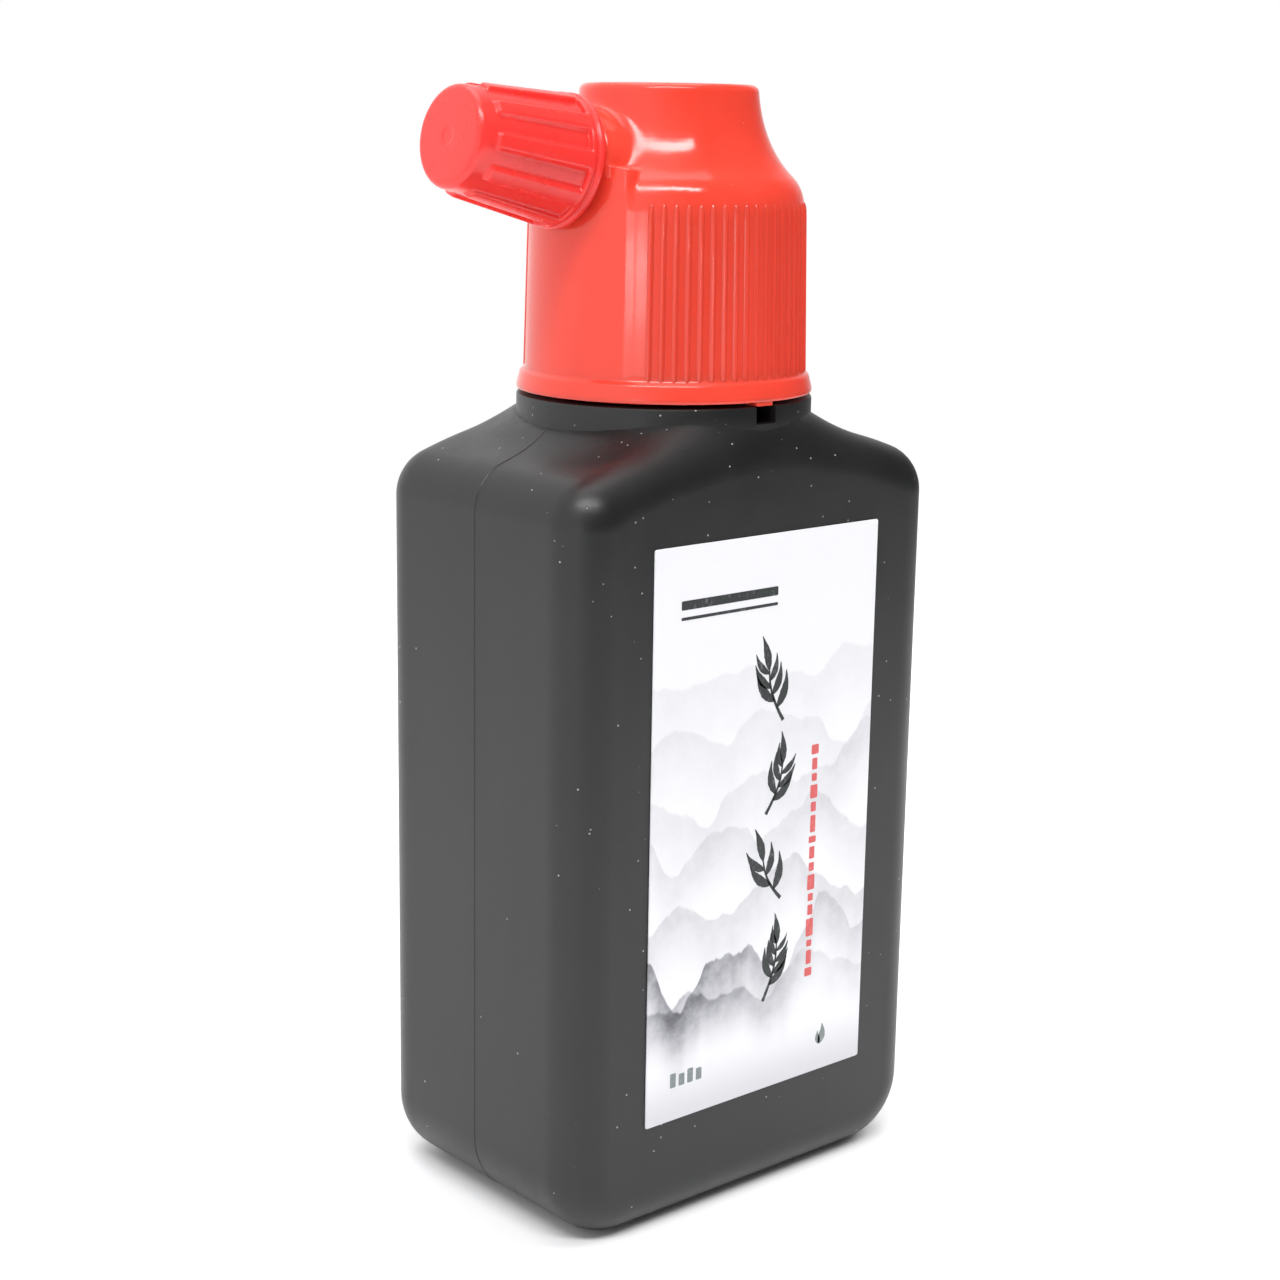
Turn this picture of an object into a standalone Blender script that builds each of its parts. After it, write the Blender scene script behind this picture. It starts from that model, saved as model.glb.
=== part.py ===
"""Ink bottle: blow-moulded body, labels, screw cap with a side spout, spout insert, seals, spout cap."""

import math

import bmesh
import bpy
from mathutils import Matrix, Vector

MM = 0.001
FULL_TURN = 2.0 * math.pi

# Bottle body, a slab whose arched outline runs along Y with one edge rounding all round.
BODY_WIDTH = 48.0 * MM
BODY_DEPTH = 32.2 * MM
EDGE_RADIUS = 4.5 * MM
ARCH_PEAK = 80.0 * MM
ARCH_RADIUS = 62.0 * MM
SHOULDER_RADIUS = 5.0 * MM
FOOT_RADIUS = 7.5 * MM
WALL = 1.3 * MM
ARCH_STEPS = 10
CORNER_STEPS = 5
EDGE_STEPS = 4

# Collar and neck.
COLLAR_RADIUS = 14.95 * MM
COLLAR_TOP = 82.0 * MM
COLLAR_ROOT = 76.5 * MM
SLOT_LEFT = -1.15 * MM
SLOT_RIGHT = 1.45 * MM
SLOT_FLOOR = 80.3 * MM
SLOT_DEPTH = 2.8 * MM
NECK_RADIUS = 10.4 * MM
NECK_BORE = 8.9 * MM
NECK_TOP = 97.6 * MM
NECK_CHAMFER = 0.4 * MM
NECK_STEPS = 48

# Screw threads: each crest runs midway between the crests of its mate.
THREAD_PITCH = 3.0 * MM
THREAD_ROOT = 1.2 * MM
THREAD_CREST = 0.7 * MM
THREAD_BITE = 0.25 * MM
NECK_THREAD_RADIUS = 11.2 * MM
NECK_THREAD_START = 86.0 * MM
NECK_THREAD_TURNS = 2.25
CAP_THREAD_RADIUS = 10.7 * MM
CAP_THREAD_START = NECK_THREAD_START - 0.5 * THREAD_PITCH
CAP_THREAD_TURNS = 1.75
THREAD_STEPS = 24

# Labels.
LABEL_WIDTH = 30.0 * MM
LABEL_BOTTOM = 11.5 * MM
LABEL_TOP = 69.7 * MM
LABEL_THICKNESS = 0.2 * MM
LABEL_GAP = 0.05 * MM

# Main cap.
CAP_FOOT = 82.4 * MM
FLANGE_RADIUS = 14.95 * MM
FLANGE_TOP_RADIUS = 14.6 * MM
FLANGE_HEIGHT = 1.9 * MM
FLANGE_BEVEL = 0.35 * MM
SKIRT_FOOT_RADIUS = 14.1 * MM
SKIRT_RADIUS = 13.7 * MM
SKIRT_TOP = 100.0 * MM
RIDGE_TOP_RADIUS = 14.05 * MM
SHOULDER_RISE = 1.8 * MM
SHOULDER_RUN = 1.1 * MM
FLARE_RADIUS = 12.4 * MM
FLARE_FOOT = 103.6 * MM
FLARE_LEAN = math.radians(45.0)
FLARE_RUN = 2.4 * MM
DOME_RADIUS = 8.9 * MM
DOME_TOP = 112.35 * MM
DOME_LEAN = math.radians(6.0)
DOME_RISE = 3.8 * MM
DOME_ROUNDING = 0.8 * MM
SHOULDER_STEPS = 3
FLARE_STEPS = 5
ROUNDING_STEPS = 2
CAP_BORE = 11.5 * MM
CAP_SHELF = 99.2 * MM
DOME_BORE = 8.6 * MM
DOME_BORE_HEIGHT = 4.5 * MM
DOME_BORE_TOP = 7.4 * MM
DOME_BORE_TAPER_END = 108.4 * MM
DOME_CEILING = 110.9 * MM
DOME_CEILING_RADIUS = 6.8 * MM
CAP_STEPS = 72
RIDGE_PITCH = math.radians(5.0)
RIDGE_HALF_WIDTH = 0.26 * MM
RIDGE_FOOT = 84.6 * MM
RIDGE_END_SLOPE = 0.9 * MM
RIDGE_BITE = 0.35 * MM
RIDGE_SINK = 0.2 * MM
SMOOTH_HALF_ANGLE = math.radians(35.0)
RIDGE_FREE_HALF_ANGLE = math.radians(40.0)
SMOOTH_STEPS = 12
PANEL_ROOT = 10.8 * MM
LUG_DROP = 0.35 * MM
LUG_LEFT = -1.1 * MM
LUG_RIGHT = 1.0 * MM
LUG_DEPTH = 1.6 * MM
LUG_INSET = 0.1 * MM

# Neck seal.
SEAL_OUTER = 11.2 * MM
SEAL_INNER = 8.7 * MM
SEAL_FOOT = 97.9 * MM
SEAL_THICKNESS = 1.0 * MM

# Spout: distances run along its axis from the axis of the bottle, on the -X side.
SPOUT_RISE = math.radians(9.93)
SPOUT_ROOT = Vector((0.0, 0.0, 102.45 * MM))
SPOUT_START = 3.0 * MM
BOSS_RADIUS = 5.6 * MM
SEAT_RADIUS = 6.9 * MM
SEAT_START = 13.1 * MM
BOSS_END = 12.9 * MM
BOSS_SKIRT = 1.0 * MM
SPOUT_NECK_RADIUS = 3.7 * MM
SPOUT_NECK_END = 21.0 * MM
SPOUT_TIP_RADIUS = 3.1 * MM
SPOUT_TIP_END = 23.6 * MM
CHANNEL_RADIUS = 1.8 * MM
CHANNEL_START = 5.0 * MM
SOCKET_RADIUS = 2.4 * MM
SOCKET_START = 19.5 * MM
SPOUT_STEPS = 36
SPOUT_PITCH = 2.4 * MM
SPOUT_THREAD_ROOT = 0.9 * MM
SPOUT_THREAD_CREST = 0.5 * MM
SPOUT_THREAD_RADIUS = 4.2 * MM
SPOUT_THREAD_START = 15.6 * MM
SPOUT_THREAD_TURNS = 1.75

# Spout insert.
INSERT_RADIUS = 2.1 * MM
INSERT_START = 20.0 * MM
INSERT_FLANGE_RADIUS = 3.1 * MM
INSERT_FLANGE_START = 23.9 * MM
INSERT_END = 24.6 * MM
DRIP_RADIUS = 0.6 * MM
INSERT_STEPS = 28

# Spout seal.
SPOUT_SEAL_RADIUS = 3.2 * MM
SPOUT_SEAL_START = 24.9 * MM
SPOUT_SEAL_END = 25.7 * MM

# Spout cap.
SPOUT_CAP_START = 13.65 * MM
SPOUT_CAP_END = 27.4 * MM
BAND_RADIUS = 6.5 * MM
BAND_END = 15.2 * MM
BAND_BEVEL = 0.2 * MM
CORE_BASE_RADIUS = 5.85 * MM
CORE_TIP_RADIUS = 4.8 * MM
CORE_TIP = 26.6 * MM
TIP_EDGE = 0.25 * MM
TIP_FACE_RADIUS = 4.0 * MM
SPOUT_CAP_BORE = 4.4 * MM
SPOUT_CAP_BORE_END = 21.4 * MM
SPOUT_CAP_BORE_TAPER = 0.8 * MM
SPOUT_CAP_TIP_BORE = 3.6 * MM
SPOUT_CAP_CEILING = 26.0 * MM
SPOUT_CAP_THREAD_RADIUS = 3.95 * MM
SPOUT_CAP_THREAD_START = SPOUT_THREAD_START - 0.5 * SPOUT_PITCH
SPOUT_CAP_THREAD_TURNS = 1.5
RIB_COUNT = 10
RIB_END = 25.4 * MM
RIB_BASE_RADIUS = 6.4 * MM
RIB_TIP_RADIUS = 5.35 * MM
RIB_FOOT_HALF_WIDTH = 0.95 * MM
RIB_TOP_HALF_WIDTH = 0.6 * MM
RIB_BITE = 0.5 * MM


def clear_scene():
    for existing in list(bpy.data.objects):
        bpy.data.objects.remove(existing)


def material(name, colour, roughness):
    made = bpy.data.materials.new(name)
    made.use_nodes = True
    shader = made.node_tree.nodes["Principled BSDF"]
    shader.inputs["Base Color"].default_value = (*colour, 1.0)
    shader.inputs["Roughness"].default_value = roughness
    made.diffuse_color = (*colour, 1.0)
    return made


def new_object(name, mesh_builder, placement=None, surface=None):
    """Makes an object from a filled bmesh, whose coordinates are local to the placement."""
    bmesh.ops.recalc_face_normals(mesh_builder, faces=mesh_builder.faces)
    mesh = bpy.data.meshes.new(name)
    mesh_builder.to_mesh(mesh)
    mesh_builder.free()
    made = bpy.data.objects.new(name, mesh)
    bpy.context.scene.collection.objects.link(made)
    if placement is not None:
        made.matrix_world = placement
    if surface is not None:
        mesh.materials.append(surface)
    return made


def combine(target, tool, operation):
    """Adds a Boolean of a hidden helper to the target."""
    tool.hide_render = True
    tool.display_type = "WIRE"
    step = target.modifiers.new(operation.title() + "_" + tool.name, "BOOLEAN")
    step.operation = operation
    step.solver = "EXACT"
    step.object = tool


def skin_rings(builder, rings):
    """Joins closed rings of vertices, side by side, with quads."""
    for first, second in zip(rings, rings[1:]):
        count = len(first)
        for index in range(count):
            following = (index + 1) % count
            corners = (first[index], first[following], second[following], second[index])
            builder.faces.new(corners)


def revolved(profile, steps):
    """A solid turned about Z, from (radius, height) points that end on the axis or close off it."""
    builder = bmesh.new()
    columns = []
    for radius, height in profile:
        if radius == 0.0:
            columns.append([builder.verts.new((0.0, 0.0, height))])
            continue
        ring = []
        for step in range(steps):
            angle = FULL_TURN * step / steps
            ring.append(builder.verts.new((radius * math.cos(angle), radius * math.sin(angle), height)))
        columns.append(ring)
    pairs = list(zip(columns, columns[1:]))
    if len(columns[0]) > 1:
        pairs.append((columns[-1], columns[0]))
    for first, second in pairs:
        for step in range(steps):
            following = (step + 1) % steps
            if len(first) == 1:
                builder.faces.new((first[0], second[following], second[step]))
            elif len(second) == 1:
                builder.faces.new((first[step], first[following], second[0]))
            else:
                corners = (first[step], first[following], second[following], second[step])
                builder.faces.new(corners)
    return builder


def add_loft(builder, sections):
    """Adds a closed solid through sections with the same number of points, capped at both ends."""
    rings = [[builder.verts.new(point) for point in section] for section in sections]
    skin_rings(builder, rings)
    builder.faces.new(rings[0])
    builder.faces.new(rings[-1])


def loft(sections):
    builder = bmesh.new()
    add_loft(builder, sections)
    return builder


def box(low, high):
    """An axis-aligned block between two corners."""
    foot = [
        (low[0], low[1], low[2]),
        (high[0], low[1], low[2]),
        (high[0], high[1], low[2]),
        (low[0], high[1], low[2]),
    ]
    return loft([foot, [(x, y, high[2]) for x, y, _ in foot]])


def thread(inner, outer, root, crest, start, pitch, turns, crest_outside):
    """A right-handed helical ridge. It is widest where it joins its wall."""
    sections = []
    count = int(THREAD_STEPS * turns)
    inner_half = 0.5 * (root if crest_outside else crest)
    outer_half = 0.5 * (crest if crest_outside else root)
    for step in range(count + 1):
        turned = FULL_TURN * step / THREAD_STEPS
        height = start + pitch * step / THREAD_STEPS
        across = Vector((math.cos(turned), math.sin(turned), 0.0))
        section = []
        for radius, offset in (
            (inner, -inner_half),
            (outer, -outer_half),
            (outer, outer_half),
            (inner, inner_half),
        ):
            section.append(across * radius + Vector((0.0, 0.0, height + offset)))
        sections.append(section)
    return loft(sections)


def body_outline(inset):
    """The outline of the body across its width, moved inwards: flat foot, straight sides, arched top."""
    half = 0.5 * BODY_WIDTH
    corner_x = half - SHOULDER_RADIUS
    arch_centre = ARCH_PEAK - ARCH_RADIUS
    reach = ARCH_RADIUS - SHOULDER_RADIUS
    corner_z = arch_centre + math.sqrt(reach**2 - corner_x**2)
    meet = math.atan2(corner_z - arch_centre, corner_x)
    points = []
    for step in range(CORNER_STEPS + 1):
        angle = meet * step / CORNER_STEPS
        radius = SHOULDER_RADIUS - inset
        points.append((corner_x + radius * math.cos(angle), corner_z + radius * math.sin(angle)))
    for step in range(1, ARCH_STEPS):
        angle = meet + (math.pi - 2.0 * meet) * step / ARCH_STEPS
        radius = ARCH_RADIUS - inset
        points.append((radius * math.cos(angle), arch_centre + radius * math.sin(angle)))
    for step in range(CORNER_STEPS + 1):
        angle = math.pi - meet + meet * step / CORNER_STEPS
        radius = SHOULDER_RADIUS - inset
        points.append((radius * math.cos(angle) - corner_x, corner_z + radius * math.sin(angle)))
    for side, first in ((-1.0, math.pi), (1.0, 1.5 * math.pi)):
        for step in range(CORNER_STEPS + 1):
            angle = first + 0.5 * math.pi * step / CORNER_STEPS
            radius = FOOT_RADIUS - inset
            x = side * (half - FOOT_RADIUS) + radius * math.cos(angle)
            points.append((x, FOOT_RADIUS + radius * math.sin(angle)))
    return points


def body_shell(wall):
    """The body moved inwards by a wall thickness; its edge rounding shrinks to match."""
    rounding = EDGE_RADIUS - wall
    flat = 0.5 * BODY_DEPTH - EDGE_RADIUS
    sections = []
    for side in (-1.0, 1.0):
        for step in range(EDGE_STEPS + 1):
            along = step if side > 0.0 else EDGE_STEPS - step
            angle = 0.5 * math.pi * along / EDGE_STEPS
            inset = wall + rounding * (1.0 - math.cos(angle))
            y = side * (flat + rounding * math.sin(angle))
            sections.append([(x, y, z) for x, z in body_outline(inset)])
    return loft(sections)


def build_bottle(surface):
    body = new_object("bottle_body", body_shell(0.0), surface=surface)
    collar = new_object(
        "collar",
        revolved(
            [
                (0.0, COLLAR_ROOT),
                (COLLAR_RADIUS, COLLAR_ROOT),
                (COLLAR_RADIUS, COLLAR_TOP),
                (NECK_RADIUS, COLLAR_TOP),
                (NECK_RADIUS, NECK_TOP - NECK_CHAMFER),
                (NECK_RADIUS - NECK_CHAMFER, NECK_TOP),
                (0.0, NECK_TOP),
            ],
            NECK_STEPS,
        ),
    )
    combine(body, collar, "UNION")
    slot_cutter = new_object(
        "collar_slot",
        box(
            (SLOT_LEFT, -COLLAR_RADIUS - SLOT_DEPTH, SLOT_FLOOR),
            (SLOT_RIGHT, -COLLAR_RADIUS + SLOT_DEPTH, COLLAR_TOP + SLOT_DEPTH),
        ),
    )
    combine(body, slot_cutter, "DIFFERENCE")
    neck_thread = new_object(
        "neck_thread",
        thread(
            NECK_RADIUS - THREAD_BITE,
            NECK_THREAD_RADIUS,
            THREAD_ROOT,
            THREAD_CREST,
            NECK_THREAD_START,
            THREAD_PITCH,
            NECK_THREAD_TURNS,
            True,
        ),
    )
    combine(body, neck_thread, "UNION")
    combine(body, new_object("ink_space", body_shell(WALL)), "DIFFERENCE")
    bore = new_object(
        "mouth_bore",
        revolved(
            [
                (0.0, COLLAR_ROOT - WALL),
                (NECK_BORE, COLLAR_ROOT - WALL),
                (NECK_BORE, NECK_TOP + WALL),
                (0.0, NECK_TOP + WALL),
            ],
            NECK_STEPS,
        ),
    )
    combine(body, bore, "DIFFERENCE")
    return body


def build_label(name, side, surface):
    near = side * (0.5 * BODY_DEPTH + LABEL_GAP)
    far = near + side * LABEL_THICKNESS
    half = 0.5 * LABEL_WIDTH
    sheet = box((-half, min(near, far), LABEL_BOTTOM), (half, max(near, far), LABEL_TOP))
    return new_object(name, sheet, surface=surface)


def build_neck_seal(surface):
    washer = revolved(
        [
            (SEAL_INNER, 0.0),
            (SEAL_OUTER, 0.0),
            (SEAL_OUTER, SEAL_THICKNESS),
            (SEAL_INNER, SEAL_THICKNESS),
        ],
        NECK_STEPS,
    )
    return new_object("neck_seal", washer, Matrix.Translation((0.0, 0.0, SEAL_FOOT)), surface)


def bezier(start, first, second, end, steps):
    """Points on a cubic curve after its start, up to and with its end."""
    points = []
    for step in range(1, steps + 1):
        t = step / steps
        weights = ((1.0 - t) ** 3, 3.0 * t * (1.0 - t) ** 2, 3.0 * t**2 * (1.0 - t), t**3)
        point = Vector((0.0, 0.0))
        for weight, control in zip(weights, (start, first, second, end)):
            point += weight * control
        points.append(point)
    return points


def cap_outline():
    """The outside of the main cap from its foot to the top of its dome, as (radius, height)."""
    flange_top = CAP_FOOT + FLANGE_HEIGHT
    skirt_end = Vector((SKIRT_RADIUS, SKIRT_TOP))
    join = Vector((FLARE_RADIUS, FLARE_FOOT))
    lean = Vector((-math.sin(FLARE_LEAN), math.cos(FLARE_LEAN)))
    dome_edge = Vector((DOME_RADIUS, DOME_TOP - DOME_ROUNDING))
    dome_lean = Vector((-math.sin(DOME_LEAN), math.cos(DOME_LEAN)))
    shoulder = bezier(
        skirt_end,
        skirt_end + Vector((0.0, SHOULDER_RISE)),
        join - lean * SHOULDER_RUN,
        join,
        SHOULDER_STEPS,
    )
    flare = bezier(
        join,
        join + lean * FLARE_RUN,
        dome_edge - dome_lean * DOME_RISE,
        dome_edge,
        FLARE_STEPS,
    )
    rounding = []
    for step in range(1, ROUNDING_STEPS + 1):
        angle = 0.5 * math.pi * step / ROUNDING_STEPS
        radius = DOME_RADIUS - DOME_ROUNDING + DOME_ROUNDING * math.cos(angle)
        height = DOME_TOP - DOME_ROUNDING + DOME_ROUNDING * math.sin(angle)
        rounding.append((radius, height))
    return [
        (0.0, CAP_FOOT),
        (FLANGE_RADIUS, CAP_FOOT),
        (FLANGE_RADIUS, CAP_FOOT + FLANGE_BEVEL),
        (FLANGE_TOP_RADIUS, flange_top),
        (SKIRT_FOOT_RADIUS, flange_top + FLANGE_BEVEL),
        (SKIRT_RADIUS, SKIRT_TOP),
        *[(point.x, point.y) for point in shoulder + flare],
        *rounding,
        (0.0, DOME_TOP),
    ]


def skirt_levels():
    """Height and outer radius of the grip ridges, from their foot to where they sink in."""
    return (
        (RIDGE_FOOT, SKIRT_FOOT_RADIUS + RIDGE_BITE),
        (SKIRT_TOP, RIDGE_TOP_RADIUS),
        (SKIRT_TOP + RIDGE_END_SLOPE, SKIRT_RADIUS - RIDGE_SINK),
    )


def smooth_panel():
    """The plain part of the skirt, which rises to the level of the spout's axis."""
    directions = []
    for step in range(SMOOTH_STEPS + 1):
        angle = math.pi - SMOOTH_HALF_ANGLE + 2.0 * SMOOTH_HALF_ANGLE * step / SMOOTH_STEPS
        directions.append((math.cos(angle), math.sin(angle)))
    levels = (
        (RIDGE_FOOT, 0.0, SKIRT_FOOT_RADIUS + RIDGE_BITE),
        (SKIRT_TOP, 0.0, RIDGE_TOP_RADIUS),
        (SPOUT_ROOT.z, math.tan(SPOUT_RISE), RIDGE_TOP_RADIUS),
    )
    sections = []
    for height, slope, radius in levels:
        section = [(x * radius, y * radius, height - slope * x * radius) for x, y in directions]
        for x, y in reversed(directions):
            section.append((x * PANEL_ROOT, y * PANEL_ROOT, height - slope * x * PANEL_ROOT))
        sections.append(section)
    return loft(sections)


def ridges():
    """The upright grip ridges, left out over the plain part of the skirt."""
    builder = bmesh.new()
    count = round(FULL_TURN / RIDGE_PITCH)
    for index in range(count):
        turned = (index + 0.5) * RIDGE_PITCH
        if abs(turned - math.pi) < RIDGE_FREE_HALF_ANGLE:
            continue
        across = Vector((math.cos(turned), math.sin(turned), 0.0))
        beside = Vector((-math.sin(turned), math.cos(turned), 0.0))
        sections = []
        for height, reach in skirt_levels():
            upright = Vector((0.0, 0.0, height))
            inner = across * (SKIRT_RADIUS - RIDGE_BITE) + upright
            outer = across * reach + upright
            sections.append(
                [
                    inner - beside * 2.0 * RIDGE_HALF_WIDTH,
                    outer - beside * RIDGE_HALF_WIDTH,
                    outer + beside * RIDGE_HALF_WIDTH,
                    inner + beside * 2.0 * RIDGE_HALF_WIDTH,
                ]
            )
        add_loft(builder, sections)
    return builder


def spout_placement(distance):
    """Local +Z along the spout, local +X upwards, the origin on the axis of the spout."""
    along = Vector((-math.cos(SPOUT_RISE), 0.0, math.sin(SPOUT_RISE)))
    up = Vector((math.sin(SPOUT_RISE), 0.0, math.cos(SPOUT_RISE)))
    side = along.cross(up)
    turned = Matrix((up, side, along)).transposed().to_4x4()
    return Matrix.Translation(SPOUT_ROOT + along * distance) @ turned


def spout_boss():
    """The root of the spout: round above its axis, straight-sided below it."""
    section = []
    for step in range(SPOUT_STEPS // 2 + 1):
        angle = -0.5 * math.pi + math.pi * step / (SPOUT_STEPS // 2)
        section.append((BOSS_RADIUS * math.cos(angle), BOSS_RADIUS * math.sin(angle)))
    section.append((-BOSS_SKIRT, BOSS_RADIUS))
    section.append((-BOSS_SKIRT, -BOSS_RADIUS))
    return loft([[(x, y, z) for x, y in section] for z in (SPOUT_START, BOSS_END)])


def build_main_cap(surface):
    cap_origin = Matrix.Translation((0.0, 0.0, CAP_FOOT))

    def lowered(profile):
        return [(radius, height - CAP_FOOT) for radius, height in profile]

    cap = new_object("main_cap", revolved(lowered(cap_outline()), CAP_STEPS), cap_origin, surface)
    panel = new_object("plain_panel", smooth_panel())
    seat = new_object(
        "spout_cap_seat",
        revolved(
            [
                (0.0, SEAT_START),
                (SEAT_RADIUS, SEAT_START),
                (SEAT_RADIUS, SPOUT_TIP_END),
                (0.0, SPOUT_TIP_END),
            ],
            SPOUT_STEPS,
        ),
        spout_placement(0.0),
    )
    combine(panel, seat, "DIFFERENCE")
    combine(cap, panel, "UNION")
    combine(cap, new_object("grip_ridges", ridges()), "UNION")
    combine(cap, new_object("spout_boss", spout_boss(), spout_placement(0.0)), "UNION")
    neck = new_object(
        "spout_neck",
        revolved(
            [
                (0.0, SPOUT_START),
                (SPOUT_NECK_RADIUS, SPOUT_START),
                (SPOUT_NECK_RADIUS, SPOUT_NECK_END),
                (SPOUT_TIP_RADIUS, SPOUT_NECK_END),
                (SPOUT_TIP_RADIUS, SPOUT_TIP_END),
                (0.0, SPOUT_TIP_END),
            ],
            SPOUT_STEPS,
        ),
        spout_placement(0.0),
    )
    combine(cap, neck, "UNION")
    spout_thread = new_object(
        "spout_thread",
        thread(
            SPOUT_NECK_RADIUS - THREAD_BITE,
            SPOUT_THREAD_RADIUS,
            SPOUT_THREAD_ROOT,
            SPOUT_THREAD_CREST,
            SPOUT_THREAD_START,
            SPOUT_PITCH,
            SPOUT_THREAD_TURNS,
            True,
        ),
        spout_placement(0.0),
    )
    combine(cap, spout_thread, "UNION")
    lug = new_object(
        "lug",
        box(
            (LUG_LEFT, -FLANGE_RADIUS + LUG_INSET, CAP_FOOT - LUG_DROP),
            (LUG_RIGHT, -FLANGE_RADIUS + LUG_DEPTH, CAP_FOOT + FLANGE_BEVEL),
        ),
    )
    combine(cap, lug, "UNION")
    hollow = new_object(
        "cap_hollow",
        revolved(
            [
                (0.0, CAP_FOOT - THREAD_PITCH),
                (CAP_BORE, CAP_FOOT - THREAD_PITCH),
                (CAP_BORE, CAP_SHELF),
                (DOME_BORE, CAP_SHELF),
                (DOME_BORE, CAP_SHELF + DOME_BORE_HEIGHT),
                (DOME_BORE_TOP, DOME_BORE_TAPER_END),
                (DOME_CEILING_RADIUS, DOME_CEILING),
                (0.0, DOME_CEILING),
            ],
            NECK_STEPS,
        ),
    )
    combine(cap, hollow, "DIFFERENCE")
    channel = new_object(
        "spout_channel",
        revolved(
            [
                (0.0, CHANNEL_START),
                (CHANNEL_RADIUS, CHANNEL_START),
                (CHANNEL_RADIUS, SOCKET_START),
                (SOCKET_RADIUS, SOCKET_START),
                (SOCKET_RADIUS, SPOUT_TIP_END + SOCKET_RADIUS),
                (0.0, SPOUT_TIP_END + SOCKET_RADIUS),
            ],
            INSERT_STEPS,
        ),
        spout_placement(0.0),
    )
    combine(cap, channel, "DIFFERENCE")
    cap_thread = new_object(
        "cap_thread",
        thread(
            CAP_THREAD_RADIUS,
            CAP_BORE + THREAD_BITE,
            THREAD_ROOT,
            THREAD_CREST,
            CAP_THREAD_START,
            THREAD_PITCH,
            CAP_THREAD_TURNS,
            False,
        ),
    )
    combine(cap, cap_thread, "UNION")
    return cap


def build_spout_insert(surface):
    profile = [
        (DRIP_RADIUS, INSERT_START),
        (INSERT_RADIUS, INSERT_START),
        (INSERT_RADIUS, INSERT_FLANGE_START),
        (INSERT_FLANGE_RADIUS, INSERT_FLANGE_START),
        (INSERT_FLANGE_RADIUS, INSERT_END),
        (DRIP_RADIUS, INSERT_END),
    ]
    local = [(radius, distance - INSERT_START) for radius, distance in profile]
    return new_object(
        "spout_nozzle", revolved(local, INSERT_STEPS), spout_placement(INSERT_START), surface
    )


def build_spout_seal(surface):
    thickness = SPOUT_SEAL_END - SPOUT_SEAL_START
    profile = [
        (0.0, 0.0),
        (SPOUT_SEAL_RADIUS, 0.0),
        (SPOUT_SEAL_RADIUS, thickness),
        (0.0, thickness),
    ]
    return new_object(
        "spout_seal", revolved(profile, INSERT_STEPS), spout_placement(SPOUT_SEAL_START), surface
    )


def cap_ribs():
    """The broad grip ribs of the spout cap, sloping down towards its tip."""
    builder = bmesh.new()
    for index in range(RIB_COUNT):
        turned = 0.5 * math.pi + FULL_TURN * index / RIB_COUNT
        across = Vector((math.cos(turned), math.sin(turned), 0.0))
        beside = Vector((-math.sin(turned), math.cos(turned), 0.0))
        sections = []
        for distance, reach, core in (
            (BAND_END - RIB_BITE, RIB_BASE_RADIUS, CORE_BASE_RADIUS),
            (RIB_END, RIB_TIP_RADIUS, CORE_TIP_RADIUS),
            (RIB_END + RIB_BITE, CORE_TIP_RADIUS, CORE_TIP_RADIUS),
        ):
            level = Vector((0.0, 0.0, distance - SPOUT_CAP_START))
            inner = across * (core - RIB_BITE) + level
            outer = across * reach + level
            sections.append(
                [
                    inner - beside * RIB_FOOT_HALF_WIDTH,
                    outer - beside * RIB_TOP_HALF_WIDTH,
                    outer + beside * RIB_TOP_HALF_WIDTH,
                    inner + beside * RIB_FOOT_HALF_WIDTH,
                ]
            )
        add_loft(builder, sections)
    return builder


def build_spout_cap(surface):
    placement = spout_placement(SPOUT_CAP_START)

    def local(profile):
        return [(radius, distance - SPOUT_CAP_START) for radius, distance in profile]

    shell = [
        (0.0, SPOUT_CAP_START),
        (BAND_RADIUS, SPOUT_CAP_START),
        (BAND_RADIUS, BAND_END - BAND_BEVEL),
        (BAND_RADIUS - BAND_BEVEL, BAND_END),
        (CORE_BASE_RADIUS, BAND_END),
        (CORE_TIP_RADIUS, CORE_TIP),
        (CORE_TIP_RADIUS - TIP_EDGE, SPOUT_CAP_END - TIP_EDGE),
        (TIP_FACE_RADIUS, SPOUT_CAP_END),
        (0.0, SPOUT_CAP_END),
    ]
    cap = new_object("spout_cap", revolved(local(shell), SPOUT_STEPS), placement, surface)
    combine(cap, new_object("cap_ribs", cap_ribs(), placement), "UNION")
    hollow = [
        (0.0, SPOUT_CAP_START - SPOUT_PITCH),
        (SPOUT_CAP_BORE, SPOUT_CAP_START - SPOUT_PITCH),
        (SPOUT_CAP_BORE, SPOUT_CAP_BORE_END),
        (SPOUT_CAP_TIP_BORE, SPOUT_CAP_BORE_END + SPOUT_CAP_BORE_TAPER),
        (SPOUT_CAP_TIP_BORE, SPOUT_CAP_CEILING),
        (0.0, SPOUT_CAP_CEILING),
    ]
    hollow_tool = new_object(
        "spout_cap_hollow", revolved(local(hollow), SPOUT_STEPS), placement
    )
    combine(cap, hollow_tool, "DIFFERENCE")
    inner_thread = new_object(
        "spout_cap_thread",
        thread(
            SPOUT_CAP_THREAD_RADIUS,
            SPOUT_CAP_BORE + THREAD_BITE,
            SPOUT_THREAD_ROOT,
            SPOUT_THREAD_CREST,
            SPOUT_CAP_THREAD_START,
            SPOUT_PITCH,
            SPOUT_CAP_THREAD_TURNS,
            False,
        ),
        spout_placement(0.0),
    )
    combine(cap, inner_thread, "UNION")
    return cap


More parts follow.
